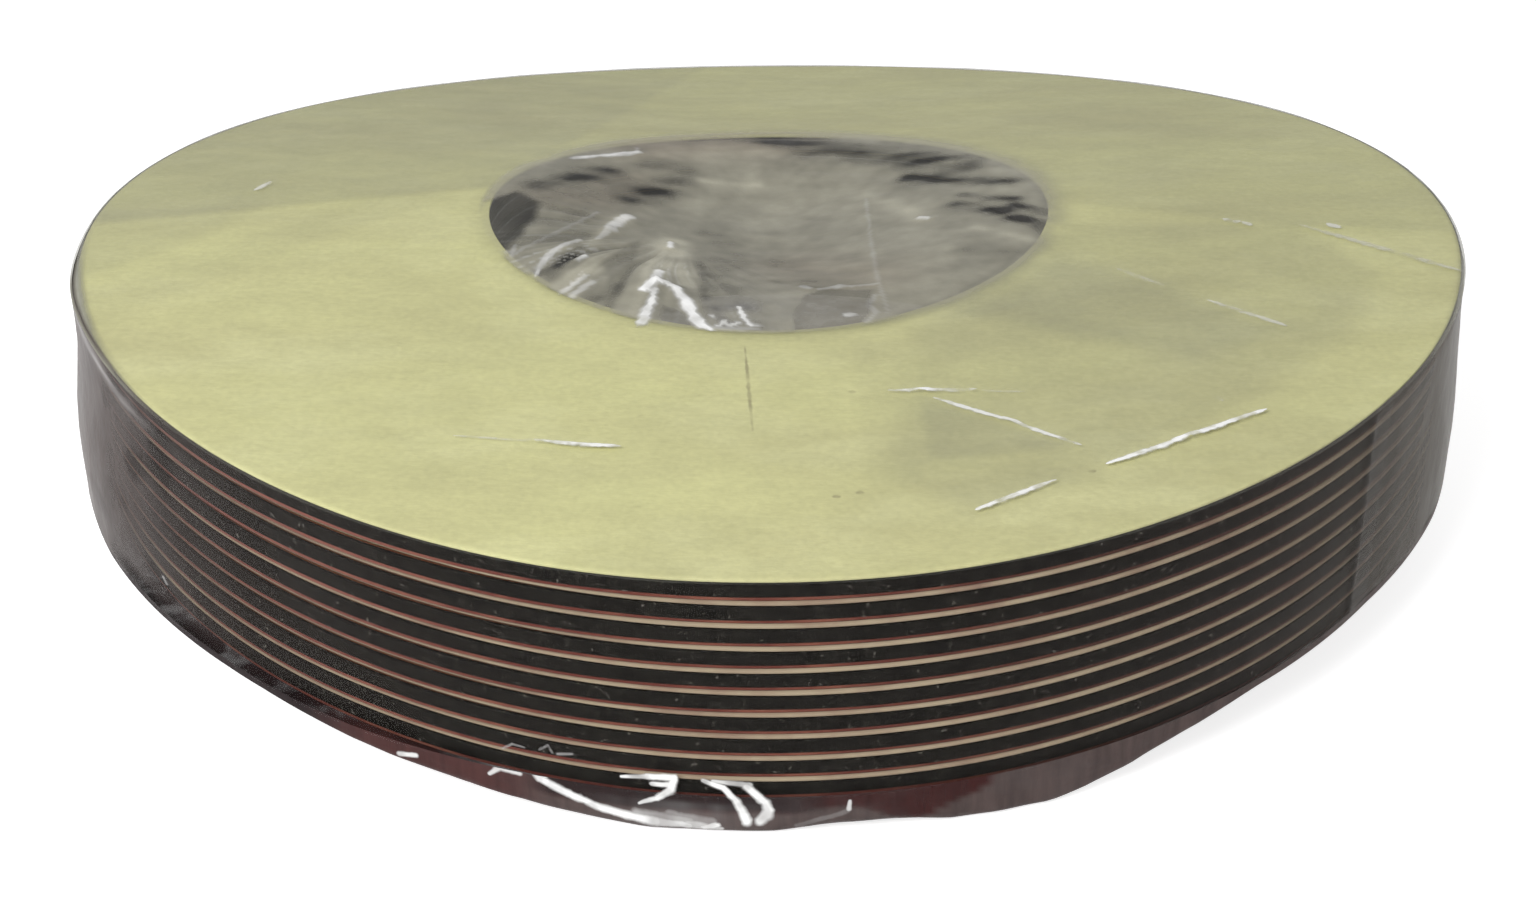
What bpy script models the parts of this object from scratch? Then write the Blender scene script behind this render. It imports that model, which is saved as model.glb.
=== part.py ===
"""Ten narrow rolls of copper foil tape, stacked flat under card discs and wrapped in clear film.

Metres, +Z up. The origin lies under the middle of the rolls' bore, on the surface the pack rests on.
The rolls are thin and limp, so the whole stack droops alike towards its front and its back.
"""

import math

import bmesh
import bpy
from mathutils import Matrix

MM = 0.001

# Rolls of tape, each wound on a ring-shaped core
ROLL_COUNT = 10
CORE_BORE = 76.2 * MM
CORE_WALL = 3.0 * MM
ROLL_DIAMETER = 181.7 * MM
TAPE_WIDTH = 1.85 * MM

# Outermost turn of each roll, black side out, with its free end at another place on each roll's back
TURN_THICKNESS = 0.4 * MM
TURN_RISE = 0.15 * MM
TURN_END_GAP = 1.2 * MM
COPPER_REVEAL = 0.35 * MM
FIRST_END_STEP = 3
END_STEPS_PER_ROLL = 5
BACK_STEPS = 13

# Card disc that lies on each roll
CARD_OVERHANG = 0.15 * MM
CARD_BORE_CLEARANCE = 0.4 * MM
CARD_THICKNESS = 0.42 * MM

# Clear film round the stack
FILM_THICKNESS = 0.3 * MM
MOUTH_INSET = 1.1 * MM
MOUTH_DIP = 6.0 * MM
MOUTH_RINGS = 4
SEAM_WIDTH = 4.0 * MM
SEAM_ANGLE = math.radians(-43.0)

# Loose film that hangs below the front and the back, pressed flat where the pack rests on it
POUCH_DEPTH = 3.8 * MM
POUCH_PRESS = 2.0 * MM
POUCH_HALF_ANGLE = math.radians(40.0)
POUCH_CORE_CLEARANCE = 3.9 * MM
POUCH_FULL_INSET = 8.85 * MM
POUCH_EDGE_WIDTH = 3.2 * MM

# How far the rolls' rim sinks at the front and the back
END_DROOP = 7.4 * MM

# Clearances
SEAT_GAP = 0.2 * MM
CORE_GAP = 0.2 * MM
TURN_GAP = 0.2 * MM
SEAM_GAP = 0.2 * MM
FILM_GAP = 0.3 * MM

# Facets round the axis, and the distance under which points are welded
SEGMENTS = 36
WELD = 0.01 * MM

ROLL_RADIUS = ROLL_DIAMETER / 2
CORE_RADIUS = CORE_BORE / 2 + CORE_WALL
TURN_RADIUS = ROLL_RADIUS - TURN_RISE - TURN_THICKNESS
CARD_RADIUS = ROLL_RADIUS + CARD_OVERHANG
CARD_BORE_RADIUS = CORE_BORE / 2 + CARD_BORE_CLEARANCE
MOUTH_RADIUS = CORE_BORE / 2 - MOUTH_INSET
POUCH_START = CORE_RADIUS + POUCH_CORE_CLEARANCE
POUCH_FULL = ROLL_RADIUS - POUCH_FULL_INSET
SLEEVE_RADIUS = CARD_RADIUS + FILM_GAP
WRAP_RADIUS = SLEEVE_RADIUS + FILM_THICKNESS
PITCH = TAPE_WIDTH + CARD_THICKNESS + 2 * SEAT_GAP
STACK_BASE = POUCH_DEPTH + FILM_THICKNESS + FILM_GAP + END_DROOP * WRAP_RADIUS / ROLL_RADIUS
STACK_TOP = STACK_BASE + ROLL_COUNT * PITCH - SEAT_GAP
FACET = 2 * math.pi / SEGMENTS


def droop(x, y):
    """How far the stack is lowered at a point. It is straight along each radius."""
    radius = math.hypot(x, y)
    return END_DROOP * y * y / (radius * ROLL_RADIUS) if radius > WELD else 0.0


def smooth(share):
    """Eases a share from 0 to 1, level at both ends."""
    share = min(max(share, 0.0), 1.0)
    return share * share * (3 - 2 * share)


def pouch(x, y):
    """How far the loose film hangs under the stack at a point, before the floor presses on it."""
    radius = math.hypot(x, y)
    if radius <= POUCH_START:
        return 0.0
    start = math.cos(POUCH_HALF_ANGLE)
    towards_end = max(0.0, (abs(y) / radius - start) / (1 - start))
    fullness = (radius - POUCH_START) / (POUCH_FULL - POUCH_START)
    edge = (WRAP_RADIUS - radius) / POUCH_EDGE_WIDTH
    return (POUCH_DEPTH + POUCH_PRESS) * math.sqrt(towards_end) * smooth(fullness) * smooth(edge)


def stack_height(x, y, z):
    """Height of a point that follows the stack's droop."""
    return z - droop(x, y)


def base_height(x, y, z):
    """Height of a point on the film's underside: drooped, hanging loose, and flat on the floor."""
    return max(0.0, z - droop(x, y) - pouch(x, y))


def material(name, colour, roughness, metallic=0.0, alpha=1.0):
    """A plain Principled material."""
    finish = bpy.data.materials.new(name)
    finish.use_nodes = True
    shader = finish.node_tree.nodes["Principled BSDF"]
    shader.inputs["Base Color"].default_value = (*colour, 1.0)
    shader.inputs["Roughness"].default_value = roughness
    shader.inputs["Metallic"].default_value = metallic
    shader.inputs["Alpha"].default_value = alpha
    return finish


def turned(profile, closed):
    """A mesh swept once round Z from (radius, height) points, by a Screw modifier."""
    count = len(profile)
    edges = [(i, (i + 1) % count) for i in range(count if closed else count - 1)]
    outline = bpy.data.meshes.new("profile")
    outline.from_pydata([(radius, 0.0, z) for radius, z in profile], edges, [])
    guide = bpy.data.objects.new("profile", outline)
    pack.objects.link(guide)
    turn = guide.modifiers.new("Turn", "SCREW")
    turn.steps = turn.render_steps = SEGMENTS
    turn.use_merge_vertices = True
    turn.merge_threshold = WELD
    swept = bpy.data.meshes.new_from_object(guide.evaluated_get(bpy.context.evaluated_depsgraph_get()))
    bpy.data.objects.remove(guide)
    bpy.data.meshes.remove(outline)
    return swept


def settled(shape, height, finish, name, sheet=False):
    """Gives a mesh its drooped height, its normals and its material.

    Quads are split along their shorter diagonal, so that stacked faces are split alike and nest.
    """
    for vertex in shape.verts:
        vertex.co.z = height(*vertex.co)
    bmesh.ops.triangulate(shape, faces=shape.faces[:], quad_method="SHORT_EDGE")
    bmesh.ops.recalc_face_normals(shape, faces=shape.faces[:])
    if sheet and sum(face.normal.z for face in shape.faces) < 0:
        bmesh.ops.reverse_faces(shape, faces=shape.faces[:])
    mesh = bpy.data.meshes.new(name)
    shape.to_mesh(mesh)
    shape.free()
    mesh.materials.append(finish)
    mesh.shade_smooth()
    mesh.set_sharp_from_angle(angle=FACET * 2)
    return mesh


def turned_piece(profile, height, finish, name, sheet=False):
    """A turned mesh that follows the pack's shape. A sheet is open, for a Solidify modifier."""
    swept = turned(profile, closed=not sheet)
    shape = bmesh.new()
    shape.from_mesh(swept)
    bpy.data.meshes.remove(swept)
    return settled(shape, height, finish, name, sheet)


def ring(inner, outer, low, high):
    """Profile of a square-edged ring, from the top of its outer side round to its inner side."""
    return [(outer, high), (outer, low), (inner, low), (inner, high)]


def outer_turn(end_step):
    """One turn of tape from its start to its free end, which stands TURN_RISE proud of the start."""
    start = end_step * FACET
    shape = bmesh.new()
    low, high = COPPER_REVEAL, TAPE_WIDTH
    corners = ring(TURN_RADIUS, TURN_RADIUS + TURN_THICKNESS, low, high)
    section = [shape.verts.new((radius, 0.0, z)) for radius, z in corners]
    bmesh.ops.rotate(shape, verts=section, matrix=Matrix.Rotation(start, 3, "Z"))
    strip = [shape.faces.new(section)]
    whole, rest = FACET * (SEGMENTS - 1), FACET - TURN_END_GAP / ROLL_RADIUS
    for angle, steps in ((whole, SEGMENTS - 1), (rest, 1)):
        geometry = {part for face in strip for part in (face, *face.edges, *face.verts)}
        swept = bmesh.ops.spin(
            shape, geom=list(geometry), axis=(0, 0, 1), angle=angle, steps=steps, cent=(0, 0, 0)
        )
        strip = [part for part in swept["geom_last"] if isinstance(part, bmesh.types.BMFace)]
    first, last = set(section), set(strip[0].verts)
    for vertex in shape.verts:
        x, y, _ = vertex.co
        turned_by = (math.atan2(y, x) - start) % (2 * math.pi)
        share = 0.0 if vertex in first else 1.0 if vertex in last else turned_by / (2 * math.pi)
        vertex.co.xy *= 1 + TURN_RISE * share / math.hypot(x, y)
    least = min((a.co - b.co).length for a in first for b in last)
    return shape, least


def place(name, mesh, parent=None, z=0.0):
    """Adds a mesh to the pack as a piece of its own, on the axis of the bore."""
    piece = bpy.data.objects.new(name, mesh)
    piece.location.z = z
    piece.parent = parent
    pack.objects.link(piece)
    return piece


def thicken(piece):
    """Turns an open sheet of film into a closed skin above the sheet."""
    skin = piece.modifiers.new("Film", "SOLIDIFY")
    skin.thickness = FILM_THICKNESS
    skin.offset = 1.0


def rolls():
    """The stacked rolls, numbered from the top, each with its core, winding, outer turn and card."""
    core = turned_piece(
        ring(CORE_BORE / 2, CORE_RADIUS, 0.0, TAPE_WIDTH), stack_height, core_plastic, "core"
    )
    winding = turned_piece(
        ring(CORE_RADIUS + CORE_GAP, TURN_RADIUS - TURN_GAP, 0.0, TAPE_WIDTH),
        stack_height, copper_foil, "winding",
    )
    card_low = TAPE_WIDTH + SEAT_GAP
    card = turned_piece(
        ring(CARD_BORE_RADIUS, CARD_RADIUS, card_low, card_low + CARD_THICKNESS),
        stack_height, yellow_card, "card",
    )
    gaps = []
    for number in range(1, ROLL_COUNT + 1):
        roll = bpy.data.objects.new(f"roll_{number:02d}", None)
        roll.location.z = STACK_BASE + (ROLL_COUNT - number) * PITCH
        pack.objects.link(roll)
        strip, least = outer_turn(FIRST_END_STEP + END_STEPS_PER_ROLL * number % BACK_STEPS)
        turn = settled(strip, stack_height, black_backing, f"outer_turn_{number:02d}")
        for kind, mesh in (("core", core), ("winding", winding), ("outer_turn", turn), ("card", card)):
            place(f"{kind}_{number:02d}", mesh, roll)
        gaps.append(least)
    print(f"Least gap between the two ends of an outer turn: {min(gaps) / MM:.2f} mm")


def film():
    """The clear film: a sheet over the top, a sleeve with its seam, and a loose sheet underneath."""
    top_line = STACK_TOP + FILM_GAP
    shares = [i / MOUTH_RINGS for i in range(MOUTH_RINGS + 1)]
    over_bore = [(MOUTH_RADIUS * share, top_line - MOUTH_DIP * (1 - smooth(share))) for share in shares]
    top = turned_piece(
        [*over_bore, (WRAP_RADIUS, top_line)], stack_height, clear_film, "film_top", sheet=True
    )
    thicken(place("film_top", top))

    sleeve = turned_piece(
        ring(SLEEVE_RADIUS, WRAP_RADIUS, STACK_BASE, STACK_TOP), stack_height, clear_film, "film_sleeve"
    )
    place("film_sleeve", sleeve)

    facet_angle = (math.floor(SEAM_ANGLE / FACET) + 0.5) * FACET
    along_facet = WRAP_RADIUS * math.sin(SEAM_ANGLE - facet_angle)
    out = WRAP_RADIUS * math.cos(FACET / 2) + SEAM_GAP + FILM_THICKNESS / 2
    size = (FILM_THICKNESS, SEAM_WIDTH, STACK_TOP - STACK_BASE)
    shape = bmesh.new()
    bmesh.ops.create_cube(shape, size=1.0)
    bmesh.ops.scale(shape, vec=size, verts=shape.verts[:])
    bmesh.ops.translate(shape, vec=(out, along_facet, (STACK_TOP + STACK_BASE) / 2), verts=shape.verts[:])
    bmesh.ops.rotate(shape, verts=shape.verts[:], matrix=Matrix.Rotation(facet_angle, 3, "Z"))
    place("film_seam", settled(shape, stack_height, clear_film, "film_seam"))

    base_line = STACK_BASE - FILM_GAP - FILM_THICKNESS
    half_full = (POUCH_START + POUCH_FULL) / 2
    radii = (0.0, POUCH_START, half_full, POUCH_FULL, WRAP_RADIUS - POUCH_EDGE_WIDTH, WRAP_RADIUS)
    base = turned_piece(
        [(radius, base_line) for radius in radii], base_height, clear_film, "film_base", sheet=True
    )
    thicken(place("film_base", base))


for old in list(bpy.data.objects):
    bpy.data.objects.remove(old)

pack = bpy.data.collections.new("copper_foil_tape_rolls")
bpy.context.scene.collection.children.link(pack)

core_plastic = material("core plastic", (0.02, 0.02, 0.022), 0.5)
copper_foil = material("copper foil", (0.56, 0.22, 0.12), 0.35, metallic=1.0)
black_backing = material("black backing", (0.012, 0.011, 0.012), 0.45)
yellow_card = material("yellow card", (0.58, 0.56, 0.29), 0.7)
clear_film = material("clear film", (0.9, 0.9, 0.88), 0.1, alpha=0.2)

rolls()
film()
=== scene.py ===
import math

import bmesh
import bpy
import numpy as np
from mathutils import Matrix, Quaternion, Vector, noise


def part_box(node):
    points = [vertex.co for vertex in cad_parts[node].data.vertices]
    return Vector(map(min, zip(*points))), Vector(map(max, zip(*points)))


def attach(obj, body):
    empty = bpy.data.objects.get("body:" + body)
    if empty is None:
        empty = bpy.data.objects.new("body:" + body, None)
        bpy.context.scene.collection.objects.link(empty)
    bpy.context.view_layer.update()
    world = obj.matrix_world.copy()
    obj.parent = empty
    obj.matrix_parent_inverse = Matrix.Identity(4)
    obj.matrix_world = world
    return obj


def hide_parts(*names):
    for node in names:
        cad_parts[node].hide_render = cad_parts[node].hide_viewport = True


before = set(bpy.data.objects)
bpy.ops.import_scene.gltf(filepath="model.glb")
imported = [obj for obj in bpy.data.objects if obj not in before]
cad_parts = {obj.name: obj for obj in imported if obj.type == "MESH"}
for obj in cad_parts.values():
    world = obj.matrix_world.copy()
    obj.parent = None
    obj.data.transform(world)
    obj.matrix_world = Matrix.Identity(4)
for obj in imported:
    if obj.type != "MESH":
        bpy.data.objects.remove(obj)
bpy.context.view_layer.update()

# Core rings
# Each roll is wound on a narrow ring of black moulded plastic with softened edges.
# The first turn of tape grips the ring's outside, and the ten bores line up into one hole.
MM = 0.001
FULL_TURN = 2 * math.pi
AXIS_RADIUS = 0.01 * MM
CORE_WALL = 3.0 * MM
CORE_EDGE = 0.25 * MM
CORE_ARC_STEPS = 3
CORE_STEPS = 144
CORE_BLACK = (0.016, 0.0155, 0.015)
CORE_SCUFF = (0.05, 0.048, 0.045)
ROLLS = sorted(node[-2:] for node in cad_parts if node.startswith("core_"))
TOP_ROLL, LOWEST_ROLL = ROLLS[0], ROLLS[-1]


def reach(node):
    """A node's outer radius, and its height from its lowest point to its highest."""
    low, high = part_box(node)
    return high.x, high.z - low.z


core_radius, core_height = reach("core_01")
winding_radius, winding_height = reach("winding_01")
DROOP = (winding_height - core_height) / (winding_radius - core_radius)
TAPE_WIDTH = core_height - DROOP * core_radius


def droop(x, y):
    """How far the limp stack sinks at a point: nothing at its sides, most at its front and its back."""
    return DROOP * y * y / np.maximum(np.hypot(x, y), AXIS_RADIUS)


def sunk(x, y, height):
    """Points at a height in the stack, each lowered by the droop there."""
    return np.stack([x, y, height - droop(x, y)], axis=-1)


def round_axis(radius, angle):
    """How far right of and behind the bore's axis places lie."""
    return radius * np.cos(angle), radius * np.sin(angle)


def ring_angles(steps):
    """Angles round the axis from the right, as a column: in radians, and in degrees from -180 to 180."""
    angle = np.arange(steps)[:, None] * FULL_TURN / steps
    return angle, np.degrees((angle + math.pi) % FULL_TURN - math.pi)


def roll_base(number):
    """Height of a roll's underside on its axis."""
    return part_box(f"winding_{number}")[1].z - TAPE_WIDTH


def roll_body(number):
    """The body that a roll moves with. The lowest roll stays with the film under it."""
    return "pack_base" if number == LOWEST_ROLL else f"roll_{number}"


def rounded_ring(inner, outer, low, high, edge):
    """Radius and height round a ring's section: down its outer side, and up its inner side."""
    corners = (
        (outer - edge, high - edge, 90, 0),
        (outer - edge, low + edge, 0, -90),
        (inner + edge, low + edge, -90, -180),
        (inner + edge, high - edge, 180, 90),
    )
    section = []
    for radius, height, start, end in corners:
        for angle in np.radians(np.linspace(start, end, CORE_ARC_STEPS + 1)):
            section.append((radius + edge * math.cos(angle), height + edge * math.sin(angle)))
    return np.array(section)


def swept(section, steps):
    """Points of a section swept once round the bore: an array of steps by section points by xyz."""
    radius, height = section.T
    return sunk(*round_axis(radius, ring_angles(steps)[0]), height)


def grid_piece(name, points, round_closed=True, across_closed=False, sharp_degrees=40):
    """A piece on a grid of points, which runs round the bore one way and across its section the other."""
    rows, columns = points.shape[:2]
    row, column = np.meshgrid(
        np.arange(rows if round_closed else rows - 1),
        np.arange(columns if across_closed else columns - 1),
        indexing="ij",
    )
    next_row, next_column = (row + 1) % rows, (column + 1) % columns
    corners = ((row, column), (row, next_column), (next_row, next_column), (next_row, column))
    faces = np.stack([r * columns + c for r, c in corners], axis=-1).reshape(-1, 4)
    mesh = bpy.data.meshes.new(name)
    mesh.from_pydata(points.reshape(-1, 3).tolist(), [], faces.tolist())
    mesh.shade_smooth()
    mesh.set_sharp_from_angle(angle=math.radians(sharp_degrees))
    piece = bpy.data.objects.new(name, mesh)
    bpy.context.scene.collection.objects.link(piece)
    return piece


def connect(tree, node, inputs):
    """Gives a node its inputs. Each is a plain value, or an output socket of another node."""
    for name, value in inputs.items():
        if isinstance(value, bpy.types.NodeSocket):
            tree.links.new(value, node.inputs[name])
        else:
            node.inputs[name].default_value = value


def wire(tree, kind, inputs=None, **settings):
    """Adds a shader node with its settings and its inputs."""
    node = tree.nodes.new(kind)
    for name, value in settings.items():
        setattr(node, name, value)
    connect(tree, node, inputs or {})
    return node


def math_node(tree, operation, *values):
    """The result of a Math node on one, two or three values."""
    return wire(tree, "ShaderNodeMath", dict(enumerate(values)), operation=operation).outputs[0]


def vector_node(tree, operation, *values, output="Vector"):
    """The result of a Vector Math node on one or two vectors."""
    return wire(tree, "ShaderNodeVectorMath", dict(enumerate(values)), operation=operation).outputs[output]


def scaled(tree, vector, factor):
    """A vector or a colour times a factor."""
    return wire(tree, "ShaderNodeVectorMath", {0: vector, "Scale": factor}, operation="SCALE").outputs[0]


def ranged(tree, mask, low, high):
    """A value that goes from low to high with a mask."""
    return math_node(tree, "MULTIPLY_ADD", mask, high - low, low)


def uneven(tree, mask, strength):
    """A factor near 1 that varies with a mask: lower by half the strength to higher by half of it."""
    return ranged(tree, mask, 1 - strength / 2, 1 + strength / 2)


def level(tree, value, low, high, **settings):
    """A mask that goes from 0 to 1 while a value goes from low to high."""
    inputs = {"Value": value, "From Min": low, "From Max": high}
    return wire(tree, "ShaderNodeMapRange", inputs, **settings).outputs[0]


def mix_colour(tree, factor, first, second):
    """The colour between two colours, by a factor."""
    node = wire(tree, "ShaderNodeMix", data_type="RGBA")
    sockets = {socket.identifier: socket for socket in node.inputs}
    for identifier, value in (("Factor_Float", factor), ("A_Color", first), ("B_Color", second)):
        if isinstance(value, bpy.types.NodeSocket):
            tree.links.new(value, sockets[identifier])
        else:
            sockets[identifier].default_value = (*value, 1.0)
    return next(socket for socket in node.outputs if socket.identifier == "Result_Color")


def layered(tree, colour, *layers):
    """A colour with others laid over it in turn, each by its own mask."""
    for mask, over in layers:
        colour = mix_colour(tree, mask, colour, over)
    return colour


def new_material(name):
    """A new material, its node tree and its Principled shader."""
    material = bpy.data.materials.new(name)
    material.use_nodes = True
    return material, material.node_tree, material.node_tree.nodes["Principled BSDF"]


def new_group(name, **inputs):
    """A shader node group that gives a mask, with its sockets. Its inputs are named with their values."""
    group = bpy.data.node_groups.new(name, "ShaderNodeTree")
    for socket_name, value in inputs.items():
        kind = "NodeSocketVector" if isinstance(value, tuple) else "NodeSocketFloat"
        group.interface.new_socket(socket_name, in_out="INPUT", socket_type=kind).default_value = value
    group.interface.new_socket("Mask", in_out="OUTPUT", socket_type="NodeSocketFloat")
    return group, group.nodes.new("NodeGroupInput").outputs, group.nodes.new("NodeGroupOutput").inputs


def placed(tree, group, **inputs):
    """Places a node group with its own values, and gives its mask."""
    node = wire(tree, "ShaderNodeGroup", node_tree=group)
    connect(tree, node, inputs)
    return node.outputs["Mask"]


# A mask of grain, fleck or cloud, stretched along any direction and cut at two levels
grain_group, grain_in, grain_out = new_group("grain", Scale=100.0, Stretch=(1.0, 1.0, 1.0), Low=0.4, High=0.6)
place = wire(grain_group, "ShaderNodeTexCoord").outputs["Object"]
stretched = vector_node(grain_group, "MULTIPLY", place, grain_in["Stretch"])
grain_noise = wire(
    grain_group, "ShaderNodeTexNoise",
    {"Vector": stretched, "Scale": grain_in["Scale"], "Detail": 4.0, "Roughness": 0.6},
).outputs[0]
grain_group.links.new(level(grain_group, grain_noise, grain_in["Low"], grain_in["High"]), grain_out["Mask"])


def grain(tree, scale, low, high, stretch=(1.0, 1.0, 1.0)):
    """The grain group's mask, with its own values."""
    return placed(tree, grain_group, Scale=scale, Stretch=stretch, Low=low, High=high)


def bump(tree, shader, height, distance):
    """Gives a shader its fine relief from a height mask."""
    relief = wire(tree, "ShaderNodeBump", {"Height": height, "Distance": distance, "Strength": 1.0})
    connect(tree, shader, {"Normal": relief.outputs["Normal"]})


core_plastic, tree, shader = new_material("core plastic")
scuff = grain(tree, scale=260, low=0.5, high=0.72, stretch=(1, 1, 0.2))
scuffed_black = mix_colour(tree, scuff, CORE_BLACK, CORE_SCUFF)
connect(tree, shader, {"Base Color": scuffed_black, "Roughness": ranged(tree, scuff, 0.45, 0.65)})
bump(tree, shader, grain(tree, scale=2600, low=0.3, high=0.7), distance=0.02 * MM)

for number in ROLLS:
    base = roll_base(number)
    section = rounded_ring(core_radius - CORE_WALL, core_radius, base, base + TAPE_WIDTH, CORE_EDGE)
    core_ring = grid_piece(f"core_ring_{number}", swept(section, CORE_STEPS), across_closed=True)
    core_ring.data.materials.append(core_plastic)
    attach(core_ring, roll_body(number))
    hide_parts(f"core_{number}")

# Wound foil
# The tape itself: hundreds of turns of thin copper foil with an adhesive back, wound into a flat disc.
# Only the edges of the turns show, as fine rings, and a few turns stand a little proud of the rest.
WINDING_GAP = 0.2 * MM
WINDING_EDGE = 0.12 * MM
WINDING_STEPS = 144
WINDING_LOOPS = 18
PROUD_TURN = 0.07 * MM
TURNS_SCALE = 5200.0
FLAT_AXES = (1.0, 1.0, 0.0)
COPPER = (0.60, 0.25, 0.13)
COPPER_SHADE = (0.16, 0.055, 0.032)
COPPER_TARNISH = (0.30, 0.12, 0.07)

wound_copper, tree, shader = new_material("wound copper")
place = wire(tree, "ShaderNodeTexCoord").outputs["Object"]
distance_out = vector_node(tree, "LENGTH", vector_node(tree, "MULTIPLY", place, FLAT_AXES), output="Value")
turn_lines = wire(
    tree, "ShaderNodeTexNoise",
    {"W": distance_out, "Scale": TURNS_SCALE, "Detail": 3.0, "Roughness": 0.7}, noise_dimensions="1D",
).outputs[0]
tarnish = grain(tree, scale=55, low=0.42, high=0.66)
bright_copper = mix_colour(tree, tarnish, COPPER, COPPER_TARNISH)
connect(
    tree, shader,
    {
        "Base Color": mix_colour(tree, level(tree, turn_lines, 0.35, 0.62), COPPER_SHADE, bright_copper),
        "Metallic": 0.85,
        "Roughness": ranged(tree, tarnish, 0.34, 0.54),
    },
)
bump(tree, shader, turn_lines, distance=0.05 * MM)

for index, number in enumerate(ROLLS):
    low, edge = roll_base(number), WINDING_EDGE
    high = low + TAPE_WIDTH
    inner, outer = core_radius + WINDING_GAP, winding_radius
    draws = np.random.default_rng(index)
    across = np.linspace(inner, outer, WINDING_LOOPS + 2)[1:-1]
    top = high - PROUD_TURN * draws.random(WINDING_LOOPS)
    bottom = low + PROUD_TURN * draws.random(WINDING_LOOPS)
    section = np.array(
        [
            (outer - edge, high - PROUD_TURN), (outer, high - edge), (outer, low + edge), (outer - edge, low),
            *zip(across[::-1], bottom),
            (inner + edge, low), (inner, low + edge), (inner, high - edge), (inner + edge, high - PROUD_TURN),
            *zip(across, top),
        ]
    )
    wound_foil = grid_piece(f"wound_foil_{number}", swept(section, WINDING_STEPS), across_closed=True)
    wound_foil.data.materials.append(wound_copper)
    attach(wound_foil, roll_body(number))
    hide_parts(f"winding_{number}")

# Outer turns
# The last turn of each roll is a strip of tape with its black backing outside and a thin copper edge below.
# It is stuck to the winding, lies a little wavy, and its free end stands proud of where it started.
STRIP_STEPS = 360
STRIP_THICKNESS = 0.4 * MM
STRIP_WAVE = 0.06 * MM
STRIP_ROUNDING = 0.06 * MM
STRIP_HANG = 0.13 * MM
STRIP_BLACK_FACES = range(4)
END_GAP = 1.2 * MM
END_RISE = 0.15 * MM
COPPER_EDGE = 0.36 * MM
COPPER_SET_BACK = 0.05 * MM
BACKING_BLACK = (0.0042, 0.0037, 0.0029)
BACKING_WORN = (0.012, 0.011, 0.009)
BACKING_GRAIN = (0.030, 0.028, 0.024)
BACKING_FLECK = (0.16, 0.15, 0.13)
EDGE_RED = (0.13, 0.036, 0.027)
EDGE_BRIGHT = (0.24, 0.09, 0.06)
EDGE_BARE = (0.25, 0.09, 0.068)
EDGE_DULL = (0.048, 0.026, 0.019)
# How bright the copper edge shows at the left, from the top roll down, and how dull it is at the right
BARE_COPPER = (0.8, 0.7, 0.45, 0.7, 0.35, 0.3, 0.25, 0.3, 0.2, 0.2)
DULL_COPPER = 0.75
# How far what shows at the left reaches round behind, in degrees
LEFT_BEHIND = 40.0

black_backing, tree, shader = new_material("black backing")
worn = grain(tree, scale=420, low=0.36, high=0.66)
backing = layered(
    tree, BACKING_BLACK, (worn, BACKING_WORN), (grain(tree, scale=2600, low=0.52, high=0.66), BACKING_GRAIN),
    (grain(tree, scale=1500, low=0.63, high=0.74), BACKING_FLECK),
)
connect(
    tree, shader,
    {"Base Color": backing, "Roughness": ranged(tree, worn, 0.55, 0.75), "Specular IOR Level": 0.03},
)
bump(tree, shader, grain(tree, scale=1500, low=0.3, high=0.7), distance=0.03 * MM)


def stored(tree, name):
    """A share that a piece has stored at its points."""
    return wire(tree, "ShaderNodeAttribute", attribute_name=name).outputs["Fac"]


copper_edge, tree, shader = new_material("copper edge")
edge_colour = layered(
    tree, EDGE_RED, (grain(tree, scale=130, low=0.45, high=0.7), EDGE_BRIGHT),
    (stored(tree, "bare"), EDGE_BARE), (stored(tree, "dull"), EDGE_DULL),
)
connect(
    tree, shader, {"Base Color": edge_colour, "Metallic": 0.2, "Roughness": 0.5, "Specular IOR Level": 0.1}
)


def smooth(share):
    """Eases a share from 0 to 1, level at both ends."""
    share = np.clip(share, 0.0, 1.0)
    return share * share * (3 - 2 * share)


def rising(value, start, spread):
    """Share from 0 to 1 that eases up from a start, over a spread."""
    return smooth((value - start) / spread)


def falling(value, start, spread):
    """Share from 1 to 0 that eases down from a start, over a spread."""
    return 1 - rising(value, start, spread)


def ripple(x, y, scale, seed):
    """Smooth noise, about -1 to 1, at each point of two arrays."""
    flat = zip(np.ravel(x * scale), np.ravel(y * scale))
    return np.array([noise.noise((u, v, seed)) for u, v in flat]).reshape(np.shape(x))


def strip_start(number):
    """The angle where a roll's outer turn starts: just past the gap that its strip leaves."""
    places = np.array([vertex.co[:2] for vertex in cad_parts[f"outer_turn_{number}"].data.vertices])
    angles = np.unique(np.round(np.arctan2(places[:, 1], places[:, 0]) % FULL_TURN, 5))
    gaps = np.diff(np.append(angles, angles[0] + FULL_TURN))
    gap = np.argmin(np.abs(gaps - END_GAP / winding_radius))
    return angles[(gap + 1) % len(angles)]


def piece_points(piece):
    """A piece's points, as three arrays."""
    flat = np.zeros(len(piece.data.vertices) * 3, np.float32)
    piece.data.vertices.foreach_get("co", flat)
    return flat.reshape(-1, 3).T


def store(piece, name, shares):
    """Stores a share from 0 to 1 at each of a piece's points, for its material."""
    layer = piece.data.attributes.new(name, "FLOAT", "POINT")
    layer.data.foreach_set("value", np.clip(shares, 0.0, 1.0).astype(np.float32))


def round_from_right(x, y):
    """Degrees round the bore's axis from the right: 0 to 180 behind it, and -180 to 0 in front."""
    return np.degrees(np.arctan2(y, x))


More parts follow.
